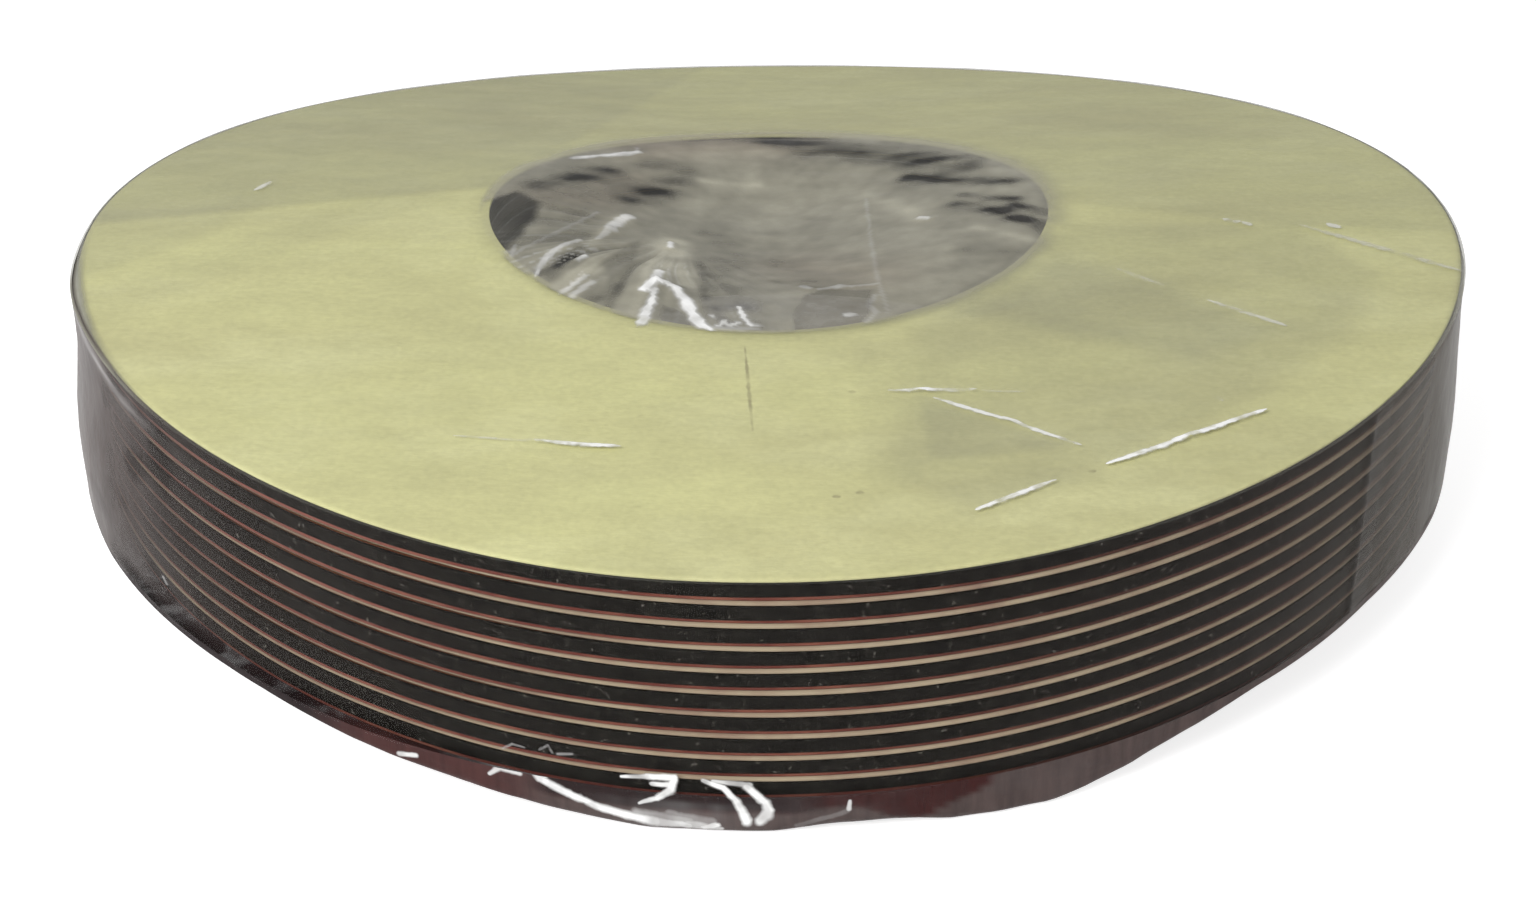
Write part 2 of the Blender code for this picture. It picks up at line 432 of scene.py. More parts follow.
def at_left(degrees, start, spread):
    """Share from 0 to 1 that grows from an angle at the front towards the left, and fades again behind."""
    behind = falling(180 - degrees, 0, LEFT_BEHIND)
    return np.where(degrees > 0, behind, smooth((start - degrees) / spread))


for index, number in enumerate(ROLLS):
    share = np.linspace(0, 1, STRIP_STEPS + 1)
    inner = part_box(f"outer_turn_{number}")[1].x - STRIP_THICKNESS - END_RISE
    turn_angle = strip_start(number) + share * (FULL_TURN - END_GAP / inner)
    wave = ripple(*round_axis(1.0, turn_angle), scale=5.0, seed=index) * STRIP_WAVE
    lift = ripple(*round_axis(1.0, turn_angle), scale=9.0, seed=index + 0.5) * STRIP_WAVE
    near = inner + END_RISE * share
    far = near + STRIP_THICKNESS + wave
    copper_out = far - COPPER_SET_BACK
    top = roll_base(number) + TAPE_WIDTH
    base = roll_base(number) - STRIP_HANG
    low = base + COPPER_EDGE + lift
    edge = STRIP_ROUNDING
    section = [
        (near, top), (far - edge, top), (far, top - edge), (far, low + edge), (far - edge, low),
        (copper_out, low - edge), (copper_out, base + edge), (copper_out - edge, base), (near, base),
    ]
    radius = np.stack([np.broadcast_to(r, share.shape) for r, _ in section], axis=-1)
    height = np.stack([np.broadcast_to(z, share.shape) for _, z in section], axis=-1)
    points = sunk(*round_axis(radius, turn_angle[:, None]), height)
    strip = grid_piece(f"outer_turn_strip_{number}", points, round_closed=False, across_closed=True)
    shape = bmesh.new()
    shape.from_mesh(strip.data)
    bmesh.ops.holes_fill(shape, edges=[side for side in shape.edges if side.is_boundary])
    bmesh.ops.recalc_face_normals(shape, faces=shape.faces[:])
    shape.to_mesh(strip.data)
    shape.free()
    strip.data.materials.append(black_backing)
    strip.data.materials.append(copper_edge)
    for face in strip.data.polygons:
        face.material_index = 0 if face.index % len(section) in STRIP_BLACK_FACES else 1
    x, y, z = piece_points(strip)
    degrees = round_from_right(x, y)
    at_right = rising(degrees, start=-90, spread=25) * falling(degrees, start=20, spread=40)
    store(strip, "bare", BARE_COPPER[index] * at_left(degrees, start=-106, spread=16))
    store(strip, "dull", DULL_COPPER * at_right)
    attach(strip, roll_body(number))
    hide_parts(f"outer_turn_{number}")

# Card discs
# A die-cut disc of thin pale yellow card lies on each roll and keeps its turns from catching on the next.
# Its top is slightly mottled and creased, and its cut edge shows the tan core of the card.
# The discs lie a little off centre, so at the left their edges are drawn in behind the tape, where painted
# shade darkens them.
CARD_WALL_CLEARANCE = 0.4 * MM
CARD_EDGE = 0.08 * MM
CARD_STEPS = 240
CARD_LOOPS = 18
CARD_CUT_RING = 0.5 * MM
CARD_WAVE = 0.06 * MM
CARD_CUT_WAVE = 0.06 * MM
CARD_DRAWN_IN = 0.5 * MM
CARD_BORE_DRAWN_IN = 1.2 * MM
CARD_TOP_BORE_IN = 0.45 * MM
# How much of the card's thickness its cut edge loses underneath: everywhere, and more where it is drawn in
CARD_CRUSHED = 0.15
CARD_CRUSHED_MORE = 0.35
CARD_YELLOW = (0.675, 0.665, 0.325)
CARD_PALE = (0.72, 0.71, 0.385)
CARD_DULL = (0.575, 0.555, 0.28)
CARD_FIBRE = (0.46, 0.43, 0.22)
CARD_CRACK = (0.33, 0.30, 0.16)
CARD_TAN = (0.40, 0.325, 0.225)
CARD_TAN_DARK = (0.275, 0.19, 0.138)
CARD_PAINTED_SHADE = (0.050, 0.021, 0.018)
# A hair crack in the top card: millimetres right of and behind the bore's axis
CRACK_START = (-3.0, -42.0)
CRACK_END = (-2.0, -62.0)
CRACK_WIDTH = 0.3 * MM
CRACK_STRENGTH = 0.8
# Dark specks on the top card, placed in the same way
SPECKS = ((34.0, -72.0), (9.0, -75.0), (6.5, -75.7), (9.0, -53.4))
SPECK_LENGTH = 0.8
SPECK_WIDTH = 0.45 * MM
SPECK_STRENGTH = 0.7
# How far each card's edge is drawn in at the left, from the top card down, and the lowest one's at the right
DRAWN_IN = (0.0, 1.0, 0.7, 1.0, 0.65, 0.9, 0.9, 0.8, 0.55, 0.5)
DRAWN_IN_RIGHT = 0.6
# How dark the painted shade on a drawn-in edge is, and how much that varies
DRAWN_IN_SHADE_DARK = 0.45
DRAWN_IN_SHADE_PATCHY = 0.4

# A line along a fold or a crack: widest in its middle, a little ragged, and broken
fold_group, fold_in, fold_out = new_group(
    "fold line", From=(0.0, 0.0, 0.0), To=(0.01, 0.0, 0.0), Axes=FLAT_AXES, Start_Width=0.5 * MM,
    End_Width=0.5 * MM, Taper=1.0, Raggedness=1.0, Strength=1.0,
)
place = wire(fold_group, "ShaderNodeTexCoord").outputs["Object"]


def fold_vector(operation, *values, output="Vector"):
    """The result of a Vector Math node in the fold's group."""
    return vector_node(fold_group, operation, *values, output=output)


def fold_math(operation, *values):
    """The result of a Math node in the fold's group."""
    return math_node(fold_group, operation, *values)


def fold_noise(scale):
    """Noise along the fold."""
    return wire(fold_group, "ShaderNodeTexNoise", {"Vector": place, "Scale": scale, "Detail": 2.0}).outputs[0]


from_start = fold_vector("MULTIPLY", fold_vector("SUBTRACT", place, fold_in["From"]), fold_in["Axes"])
along = fold_vector("MULTIPLY", fold_vector("SUBTRACT", fold_in["To"], fold_in["From"]), fold_in["Axes"])
way = fold_vector("DOT_PRODUCT", from_start, along, output="Value")
length_squared = fold_vector("DOT_PRODUCT", along, along, output="Value")
part_way = wire(fold_group, "ShaderNodeClamp", {"Value": fold_math("DIVIDE", way, length_squared)}).outputs[0]
nearest = scaled(fold_group, along, part_way)
away = fold_vector("LENGTH", fold_vector("SUBTRACT", from_start, nearest), output="Value")
widening = fold_math("SUBTRACT", fold_in["End_Width"], fold_in["Start_Width"])
width = fold_math("MULTIPLY_ADD", part_way, widening, fold_in["Start_Width"])
ragged = fold_math("MULTIPLY", ranged(fold_group, fold_noise(scale=900.0), -0.8, 0.8), fold_in["Raggedness"])
width = fold_math("MULTIPLY", width, fold_math("ADD", 1.0, ragged))
to_ends = fold_math("SQRT", fold_math("MULTIPLY", part_way, fold_math("SUBTRACT", 1.0, part_way)))
thinner = fold_math("MULTIPLY", ranged(fold_group, to_ends, 0.7, -0.7), fold_in["Taper"])
width = fold_math("MULTIPLY", width, fold_math("SUBTRACT", 1.0, thinner))
inside_width = fold_math("SUBTRACT", 1.0, fold_math("DIVIDE", away, width))
line = level(fold_group, inside_width, 0.0, 0.7, interpolation_type="SMOOTHSTEP")
whole = level(fold_group, fold_noise(scale=330.0), 0.32, 0.55)
gap = fold_math("MULTIPLY", ranged(fold_group, whole, 0.7, 0.0), fold_in["Raggedness"])
line = fold_math("MULTIPLY", line, fold_math("SUBTRACT", 1.0, gap))
fold_group.links.new(fold_math("MULTIPLY", line, fold_in["Strength"]), fold_out["Mask"])


def fold_line(tree, start, end, axes, widths, strength, taper=1.0, raggedness=1.0):
    """The fold line's mask, with its own values. Widths are those at its two ends."""
    return placed(
        tree, fold_group, From=start, To=end, Axes=axes, Start_Width=widths[0], End_Width=widths[1],
        Taper=taper, Raggedness=raggedness, Strength=strength,
    )


def on_flat(across, back):
    """A point in metres from a place in millimetres right of and behind the bore's axis."""
    return (across * MM, back * MM, 0.0)


yellow_card, tree, shader = new_material("yellow card")
mottle = grain(tree, scale=26, low=0.36, high=0.66, stretch=(0.6, 1.4, 1))
pale = grain(tree, scale=60, low=0.48, high=0.75, stretch=(0.7, 1.2, 1))
fibre = grain(tree, scale=900, low=0.62, high=0.8, stretch=(0.35, 1, 1))
blotch = grain(tree, scale=210, low=0.36, high=0.64, stretch=(0.6, 1.2, 1))
speckle = grain(tree, scale=1100, low=0.36, high=0.64)
crack_ends = on_flat(*CRACK_START), on_flat(*CRACK_END)
crack = fold_line(tree, *crack_ends, FLAT_AXES, (CRACK_WIDTH, CRACK_WIDTH), CRACK_STRENGTH)
for across, back in SPECKS:
    speck_ends = on_flat(across, back), on_flat(across + SPECK_LENGTH, back)
    speck = fold_line(tree, *speck_ends, FLAT_AXES, (SPECK_WIDTH, SPECK_WIDTH), SPECK_STRENGTH)
    crack = math_node(tree, "MAXIMUM", crack, speck)
face_colour = layered(
    tree, CARD_YELLOW, (mottle, CARD_DULL), (ranged(tree, pale, 0.0, 0.7), CARD_PALE),
    (ranged(tree, fibre, 0.0, 0.35), CARD_FIBRE),
)
for mask, strength in ((blotch, 0.07), (speckle, 0.09)):
    face_colour = scaled(tree, face_colour, uneven(tree, mask, strength))
face_colour = mix_colour(tree, crack, face_colour, CARD_CRACK)
connect(tree, shader, {"Base Color": face_colour, "Roughness": 0.75, "Specular IOR Level": 0.2})
bump(tree, shader, grain(tree, scale=1400, low=0.3, high=0.7, stretch=(0.5, 1, 1)), distance=0.03 * MM)

card_cut, tree, shader = new_material("card cut edge")
# The tan cut edge, darkened by painted shade where it is drawn in behind the tape
cut_colour = layered(
    tree, CARD_TAN, (grain(tree, scale=110, low=0.44, high=0.7), CARD_TAN_DARK),
    (stored(tree, "drawn_in_shade"), CARD_PAINTED_SHADE),
)
connect(tree, shader, {"Base Color": cut_colour, "Roughness": 0.8, "Specular IOR Level": 0.05})

card_radius, card_height = reach("card_01")
CARD_THICKNESS = card_height - DROOP * card_radius
card_bore = core_radius - CORE_WALL + CARD_WALL_CLEARANCE
for index, number in enumerate(ROLLS):
    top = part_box(f"card_{number}")[1].z
    bottom, edge = top - CARD_THICKNESS, CARD_EDGE
    bore = card_bore + (-CARD_TOP_BORE_IN if number == TOP_ROLL else CARD_BORE_DRAWN_IN)
    across = np.linspace(bore + edge, card_radius - edge - CARD_CUT_RING, CARD_LOOPS - 1)
    across = np.append(across, card_radius - edge)
    section = np.array(
        [
            *((radius, top) for radius in across), (card_radius, top - edge), (card_radius, bottom + edge),
            *((radius, bottom) for radius in across[::-1]), (bore, bottom + edge), (bore, top - edge),
        ]
    )
    points = swept(section, CARD_STEPS)
    x, y = points[..., 0], points[..., 1]
    points[..., 2] += ripple(x, y, scale=45.0, seed=index + 0.3) * CARD_WAVE
    at_rim = rising(np.hypot(x, y), card_radius - MM, MM)
    degrees = round_from_right(x, y)
    at_right = index / len(ROLLS) * rising(degrees, start=-78, spread=40)
    drawn_in_shade = DRAWN_IN[index] * at_left(degrees, start=-88, spread=32)
    drawn_in_shade = np.maximum(drawn_in_shade, DRAWN_IN_RIGHT * at_right)
    cut = ripple(x, y, scale=60.0, seed=index + 0.7) * CARD_CUT_WAVE - drawn_in_shade * CARD_DRAWN_IN
    points[..., :2] *= (1 + at_rim * cut / np.hypot(x, y))[..., None]
    lower_lip = slice(CARD_LOOPS + 1, CARD_LOOPS + 3)
    points[:, lower_lip, 2] += CARD_THICKNESS * (CARD_CRUSHED + CARD_CRUSHED_MORE * drawn_in_shade[:, lower_lip])
    disc = grid_piece(f"card_disc_{number}", points, across_closed=True, sharp_degrees=50)
    # Painted shade on the drawn-in edge, patchy round the disc
    patchy = DRAWN_IN_SHADE_DARK + DRAWN_IN_SHADE_PATCHY * ripple(x, y, scale=50.0, seed=index + 0.9)
    store(disc, "drawn_in_shade", np.ravel(drawn_in_shade * patchy))
    disc.data.materials.append(yellow_card)
    disc.data.materials.append(card_cut)
    around = len(section)
    sides = {*range(CARD_LOOPS - 2, CARD_LOOPS + 2), *range(around - 3, around)}
    for face in disc.data.polygons:
        face.material_index = 1 if number != TOP_ROLL and face.index % around in sides else 0
    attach(disc, roll_body(number))
    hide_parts(f"card_{number}")

# Base film
# The clear film is drawn under the pack and left loose: it hangs in a crumpled bag at the front and the back.
# Copper red shows through where it lies against the lowest roll, and its sharp folds carry painted
# highlights.
FILM_RADIUS = 91.45 * MM
PAINTED_HIGHLIGHT_WHITE = (0.97, 0.97, 0.96)
UPRIGHT_AXES = (1.0, 0.0, 1.0)
BASE_ROUNDING = 1.3 * MM
BASE_LEAST_ROUNDING = 0.2 * MM
BASE_STEPS = 480
SKIRT_ROWS = 14
BEND_ROWS = 8
UNDER_ROWS = 45
BASE_START = 45.0 * MM
BASE_GAP = 0.45 * MM
BASE_OVERLAP = 0.6 * MM
BASE_OFF_FLOOR = 0.02 * MM
BASE_MAUVE = (0.106, 0.076, 0.071)
BASE_ROSE = (0.080, 0.033, 0.031)
BASE_RED = (0.050, 0.012, 0.011)
BASE_DARK = (0.008, 0.007, 0.008)
BASE_HAZE = 0.9
BASE_CRUMPLE = 0.35 * MM
WELD = 0.001 * MM
# How deep the film hangs below the rolls' rim: degrees round from the right, and depth
FRONT_HANG = (
    (-128, 0), (-122, 0.7), (-117, 1.5), (-112, 2.3), (-105, 3.4), (-98, 4.2), (-92, 4.4), (-86, 3.1),
    (-81, 3.3), (-76, 4.8), (-70, 4.7), (-65, 3.3), (-60, 1.5), (-54, 0),
)
BACK_HANG = (
    (57, 0), (66, 3.2), (76, 4.6), (86, 3.8), (95, 4.4), (106, 3.4), (118, 1.2), (126, 0),
)
HANG_SAMPLES = 200
HANG_BLUR = np.hanning(15) / np.hanning(15).sum()
# Folds with painted highlights: millimetres across and up from the floor, widths at both ends, and whiteness
RIM_FOLDS = (
    ((-16.0, 6.8), (-13.3, 7.1), 0.3, 0.5, 0.95), ((-13.3, 7.1), (-10.4, 7.2), 0.55, 0.7, 1.0),
    ((-12.8, 6.2), (-10.6, 6.2), 0.4, 0.65, 0.95), ((-10.4, 7.0), (-10.9, 5.6), 0.65, 0.8, 1.0),
    ((-10.9, 5.6), (-12.3, 4.4), 0.75, 0.55, 1.0), ((-12.3, 4.4), (-14.2, 3.6), 0.55, 0.25, 0.95),
    ((-7.4, 7.0), (-5.3, 6.2), 0.4, 0.55, 1.0), ((-5.3, 6.2), (-4.0, 4.6), 0.55, 0.6, 1.0),
    ((-6.4, 7.0), (-2.6, 6.6), 0.35, 0.6, 0.85), ((-2.9, 6.4), (-0.9, 4.3), 0.7, 0.75, 1.0),
)
BASE_FOLDS = RIM_FOLDS + (
    ((-40.6, 4.9), (-38.7, 5.2), 0.45, 0.4, 0.8), ((-30.4, 4.8), (-29.2, 5.9), 0.3, 0.55, 0.75),
    ((-29.2, 5.9), (-27.0, 5.5), 0.55, 0.4, 0.75), ((-25.4, 5.9), (-24.9, 5.2), 0.5, 0.55, 0.9),
    ((-24.9, 5.3), (-22.5, 4.1), 0.6, 0.65, 1.0), ((-22.5, 4.1), (-18.6, 2.6), 0.65, 0.7, 1.0),
    ((-18.6, 2.6), (-16.0, 2.0), 0.7, 0.75, 1.0), ((-16.0, 2.0), (-12.5, 1.4), 0.75, 0.9, 1.0),
    ((-12.5, 1.4), (-9.0, 1.1), 0.85, 0.75, 0.85), ((-9.0, 1.1), (-5.6, 0.8), 0.7, 0.45, 0.7),
    ((-4.0, 4.6), (-2.9, 1.9), 0.6, 0.85, 1.0), ((-0.9, 4.3), (-0.55, 3.3), 0.75, 0.85, 1.0),
    ((-0.55, 3.3), (-0.75, 2.6), 0.85, 0.9, 1.0), ((-0.75, 2.6), (-1.5, 1.9), 0.9, 0.8, 1.0),
    ((8.0, 4.2), (7.9, 3.2), 0.25, 0.4, 0.8), ((-7.6, 1.0), (-6.2, 1.4), 0.4, 0.5, 0.9),
    ((-11.0, 2.4), (-6.5, 1.8), 0.9, 0.7, 0.3), ((-25.4, 5.9), (-24.3, 5.6), 0.35, 0.5, 0.9),
    ((-14.5, 2.2), (-9.0, 1.6), 1.0, 1.1, 0.45), ((-9.0, 1.3), (-6.0, 1.0), 1.0, 0.6, 0.65),
    ((-7.4, 0.9), (-6.0, 1.3), 0.5, 0.55, 1.0), ((2.4, 1.3), (7.8, 3.0), 0.45, 0.4, 0.14),
    ((3.0, 0.9), (13.0, 1.3), 0.3, 0.3, 0.25),
)
# The folds of the bag behind the pack, also with painted highlights, placed in the same way
BACK_FOLDS = (
    ((14.0, 5.8), (8.0, 3.6), 0.5, 0.7, 0.9), ((8.0, 3.6), (-2.0, 2.0), 0.7, 0.6, 0.8),
    ((-6.0, 6.4), (-8.6, 4.2), 0.5, 0.7, 0.9), ((-8.6, 4.2), (-8.0, 2.2), 0.7, 0.5, 0.85),
    ((24.0, 6.6), (20.0, 6.2), 0.4, 0.5, 0.7), ((-20.0, 5.4), (-25.0, 6.2), 0.4, 0.3, 0.6),
)
# How far the film stands off at its lower edge: degrees round from the right, and distance
STAND_OFF_LOW = (
    (-180, 1.4), (-168, 2.3), (-150, 2.3), (-142, 1.9), (-132, 1.3), (-120, 1.0), (-112, 0.4), (-104, 0),
    (-40, 0), (-26, 1.0), (-8, 1.3), (15, 0.8), (40, 0), (140, 0), (180, 1.4),
)


def film_material(name, veil, folds, axes, streaks, gloss, crisp=False, back_folds=()):
    """Clear film. It is clouded by its stored haze, and carries painted white highlights from its stored
    glints and along its folds.

    Streaks are the stretch and the strength of its fine streaks. Gloss is how strongly it mirrors straight on
    and edge on, and how fast that grows. Crisp folds keep their widths to their ends, and show in front only.
    """
    material, tree, shader = new_material(name)
    stretch, strength = streaks
    streak = grain(tree, scale=240, low=0.3, high=0.7, stretch=stretch)
    haze = math_node(tree, "MULTIPLY", stored(tree, "haze"), uneven(tree, streak, strength))
    ends = {"taper": 0.0, "raggedness": 0.5} if crisp else {}

    def brightest(lines):
        """The whitest of several folds at each point."""
        white = 0.0
        for start, end, start_width, end_width, whiteness in lines:
            fold = fold_line(tree, start, end, axes, (start_width * MM, end_width * MM), whiteness, **ends)
            white = math_node(tree, "MAXIMUM", white, fold)
        return white

    white = brightest(folds)
    if crisp:
        front = stored(tree, "front")
        behind = math_node(tree, "MULTIPLY", brightest(back_folds), math_node(tree, "SUBTRACT", 1.0, front))
        white = math_node(tree, "MULTIPLY_ADD", white, front, behind)
    white = math_node(tree, "MAXIMUM", white, stored(tree, "glint"))
    connect(
        tree, shader,
        {
            # Painted highlights: white laid over the veil along the folds and glints
            "Base Color": mix_colour(tree, white, veil(tree), PAINTED_HIGHLIGHT_WHITE),
            "Alpha": math_node(tree, "MAXIMUM", haze, white),
            "Roughness": 0.45,
            "Specular IOR Level": 0.05,
        },
    )
    bump(tree, shader, grain(tree, scale=170, low=0.3, high=0.7), distance=0.15 * MM)
    relief = shader.inputs["Normal"].links[0].from_socket
    mirror = wire(
        tree, "ShaderNodeBsdfAnisotropic", {"Color": (1, 1, 1, 1), "Roughness": 0.12, "Normal": relief}
    )
    straight_on, edge_on, power = gloss
    facing = wire(tree, "ShaderNodeLayerWeight", {"Blend": 0.5}).outputs["Facing"]
    shine = ranged(tree, math_node(tree, "POWER", facing, power), straight_on, edge_on)
    film = wire(tree, "ShaderNodeMixShader", {0: shine, 1: shader.outputs[0], 2: mirror.outputs[0]})
    connect(tree, tree.nodes["Material Output"], {"Surface": film.outputs[0]})
    return material


def close_middle(piece):
    """Welds the points that a grid has on the axis."""
    shape = bmesh.new()
    shape.from_mesh(piece.data)
    bmesh.ops.remove_doubles(shape, verts=shape.verts[:], dist=WELD)
    shape.to_mesh(piece.data)
    shape.free()


def bell(distance, width):
    """Share from 0 to 1 that is full at no distance, and fades over a width."""
    return np.exp(-((distance / width) ** 2))


def by_angle(places, degrees):
    """A value at each angle, straight between the places given."""
    return np.interp(degrees, *np.array(places).T)


def hang(places, degrees):
    """Depth of the hanging film at each angle, smooth through the places given."""
    fine = np.linspace(places[0][0], places[-1][0], HANG_SAMPLES)
    eased = np.convolve(by_angle(places, fine), HANG_BLUR, mode="same")
    return np.interp(degrees, fine, eased, left=0, right=0) * MM


def base_veil(tree):
    """The film's colour underneath: mauve, rose at the left, copper red against the lowest roll, dark at the
    far left, and a painted reflection of the lowest roll's black band near it in the middle.
    """
    streaks = grain(tree, scale=700, low=0.35, high=0.7, stretch=(1.2, 1.2, 0.12))
    return layered(
        tree, BASE_MAUVE, (stored(tree, "rose"), BASE_ROSE), (stored(tree, "red"), BASE_RED),
        (stored(tree, "dark"), BASE_DARK), (ranged(tree, streaks, 0.0, 0.35), BASE_DARK),
    )


def side_folds(folds):
    """Folds on a side of the pack, with their ends as points in metres."""
    return [
        ((start[0] * MM, 0.0, start[1] * MM), (end[0] * MM, 0.0, end[1] * MM), *rest)
        for start, end, *rest in folds
    ]


stack_base = roll_base(LOWEST_ROLL)
angle, degrees = ring_angles(BASE_STEPS)
depth = hang(FRONT_HANG, degrees) + hang(BACK_HANG, degrees)
rim_base = stack_base - droop(*round_axis(FILM_RADIUS, angle))
rim = rim_base + BASE_OVERLAP
rim_radius = FILM_RADIUS + by_angle(STAND_OFF_LOW, degrees) * MM
rounding = np.minimum(BASE_ROUNDING, BASE_LEAST_ROUNDING + depth / 2)
floor_line = np.maximum(rim_base - BASE_GAP - depth, BASE_OFF_FLOOR)
profile = [
    (rim_radius, rim + (floor_line + rounding - rim) * share) for share in np.linspace(0, 1, SKIRT_ROWS)
]
for turn in np.radians(np.linspace(0, 90, BEND_ROWS + 1))[1:]:
    bend_in, bend_up = rounding * (1 - math.cos(turn)), rounding * (1 - math.sin(turn))
    profile.append((rim_radius - bend_in, floor_line + bend_up))
for share in np.linspace(0, 1, UNDER_ROWS + 1)[1:]:
    radius = (rim_radius - rounding) * (1 - share)
    full = rising(radius, BASE_START, FILM_RADIUS - BASE_ROUNDING - BASE_START)
    under_roll = stack_base - BASE_GAP - droop(*round_axis(radius, angle))
    profile.append((radius, under_roll - (rim_base - BASE_GAP - floor_line) * full))
radius = np.concatenate([r for r, _ in profile], axis=1)
height = np.concatenate([z for _, z in profile], axis=1)
loose = rising(depth, 0, 2.5 * MM) * rising(radius, BASE_START, 20 * MM) * rising(rim - height, 0, 1.5 * MM)
x, y = round_axis(radius, angle)
crumple = ripple(x + height, y - height, scale=260.0, seed=3.1)
crumple += 0.6 * np.abs(ripple(x - height, y + height, scale=620.0, seed=5.2))
push = crumple * BASE_CRUMPLE * loose
height = np.maximum(height + 0.5 * push, 0.0)
base_film = grid_piece(
    "base_film", np.stack([*round_axis(radius + push, angle), height], axis=-1), sharp_degrees=180
)
close_middle(base_film)
base_film.data.materials.append(
    film_material(
        "base film", base_veil, side_folds(BASE_FOLDS), UPRIGHT_AXES, streaks=((1.4, 1.4, 0.3), 0.15),
        gloss=(0.004, 0.02, 3.2), crisp=True, back_folds=side_folds(BACK_FOLDS),
    )
)
x, y, z = piece_points(base_film)
across, below_rim = x / MM, (stack_base - droop(x, y) - z) / MM
at_sides = rising(np.abs(across), start=30, spread=12)
middle = rising(across, start=-27, spread=4) * falling(across, start=1, spread=6)
store(base_film, "haze", BASE_HAZE + 0.12 * ripple(x, y, scale=90.0, seed=8.3) + 0.2 * at_sides)
store(base_film, "front", rising(-y, 0, 20 * MM))
store(base_film, "rose", falling(across, start=-30, spread=8))
# Darker towards the far left; near the lowest roll in the middle, a painted reflection of its black band
near_rim = falling(below_rim + 0.7 * ripple(x, y, scale=70.0, seed=4.8), start=0.9, spread=0.9)
store(base_film, "dark", np.maximum(0.85 * falling(across, start=-53, spread=9), 0.7 * middle * near_rim))
red_depth = 0.75 + 0.35 * rising(across, start=6, spread=6) + 2.4 * bell(across - 15, 4) + 0.8 * middle
red_right = rising(across, start=0, spread=5) * falling(across + 0.9 * below_rim, start=22.6, spread=0.8)
red = np.maximum(red_right, 0.75 * middle) * falling(below_rim - red_depth, start=-0.4, spread=0.8)
store(base_film, "red", red)
# Pale upright streaks low in the middle of the bag: painted highlights
upright = 0.5 + 0.5 * ripple(x, z * 0.1, scale=1900.0, seed=6.6)
store(base_film, "glint", 0.13 * bell(across + 10, 7) * rising(below_rim, start=0, spread=0.8) * upright)
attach(base_film, "pack_base")
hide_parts("film_base")

# Side film
# The same film is shrunk round the side of the stack, tight against the rolls at the front.
# It stands off a little at the left and the right, where it clouds over and shows painted sheen, and lifts at
# the rim on the left.
SIDE_STEPS = 540
SIDE_ROWS = 44
SIDE_WAVE = 0.10 * MM
SIDE_FOOT = 0.3 * MM
SIDE_TURNED_IN = 0.3 * MM
SIDE_VEIL = (0.126, 0.109, 0.103)
SIDE_WARM_VEIL = (0.120, 0.098, 0.092)
SIDE_PALE_VEIL = (0.190, 0.172, 0.147)
LIFT_ANGLE = -162.0
LIFT_SPREAD = 8.0
LIFT_OUT = 0.45 * MM
# A pale streak just under the rim at the left: a painted highlight
RIM_STREAK_ANGLE = -151.0
RIM_STREAK_SPREAD = 10.0
RIM_STREAK_DROP = 1.7 * MM
RIM_STREAK_WIDTH = 0.5 * MM
# How cloudy the film is, with painted sheen towards the left and the right: degrees round from the right, and
# haze
SIDE_HAZE_AND_SHEEN = (
    (-180, 0.97), (-155, 0.96), (-148, 0.84), (-141, 0.52), (-134, 0.25), (-127, 0.11), (-118, 0.06),
    (-110, 0.03), (-98, 0.015), (-78, 0.02), (-66, 0.07), (-58, 0.14), (-50, 0.24), (-43.2, 0.28),
    (-42.2, 0.45), (-36, 0.56), (-25, 0.74), (-10, 0.92), (0, 0.97), (25, 0.8), (50, 0.4), (75, 0.12),
    (105, 0.1), (130, 0.32), (155, 0.8), (180, 0.97),
)
# Scratches: millimetres across and up from the floor, then widths at both ends and whiteness
SIDE_FOLDS = (
    ((-28.7, 8.4), (-27.6, 9.2), 0.25, 0.3, 0.45), ((-27.6, 9.2), (-26.3, 9.0), 0.3, 0.2, 0.4),
    ((-24.6, 9.0), (-23.7, 9.7), 0.25, 0.25, 0.4), ((-23.7, 9.7), (-23.3, 8.8), 0.2, 0.2, 0.35),
    ((-22.7, 8.7), (-21.2, 8.9), 0.3, 0.3, 0.45), ((-70.5, 14.6), (-70.2, 14.0), 0.4, 0.4, 0.6),
)


def side_veil(tree):
    """The grey of the film's haze and painted sheen where it stands off the side: paler at the right."""
    cloud = grain(tree, scale=60, low=0.4, high=0.6)
    return layered(tree, SIDE_VEIL, (cloud, SIDE_WARM_VEIL), (stored(tree, "pale"), SIDE_PALE_VEIL))


def rim_lift(degrees):
    """How far the film's rim stands off at each angle: only at the left."""
    return LIFT_OUT * bell((degrees - LIFT_ANGLE + 180) % 360 - 180, LIFT_SPREAD)


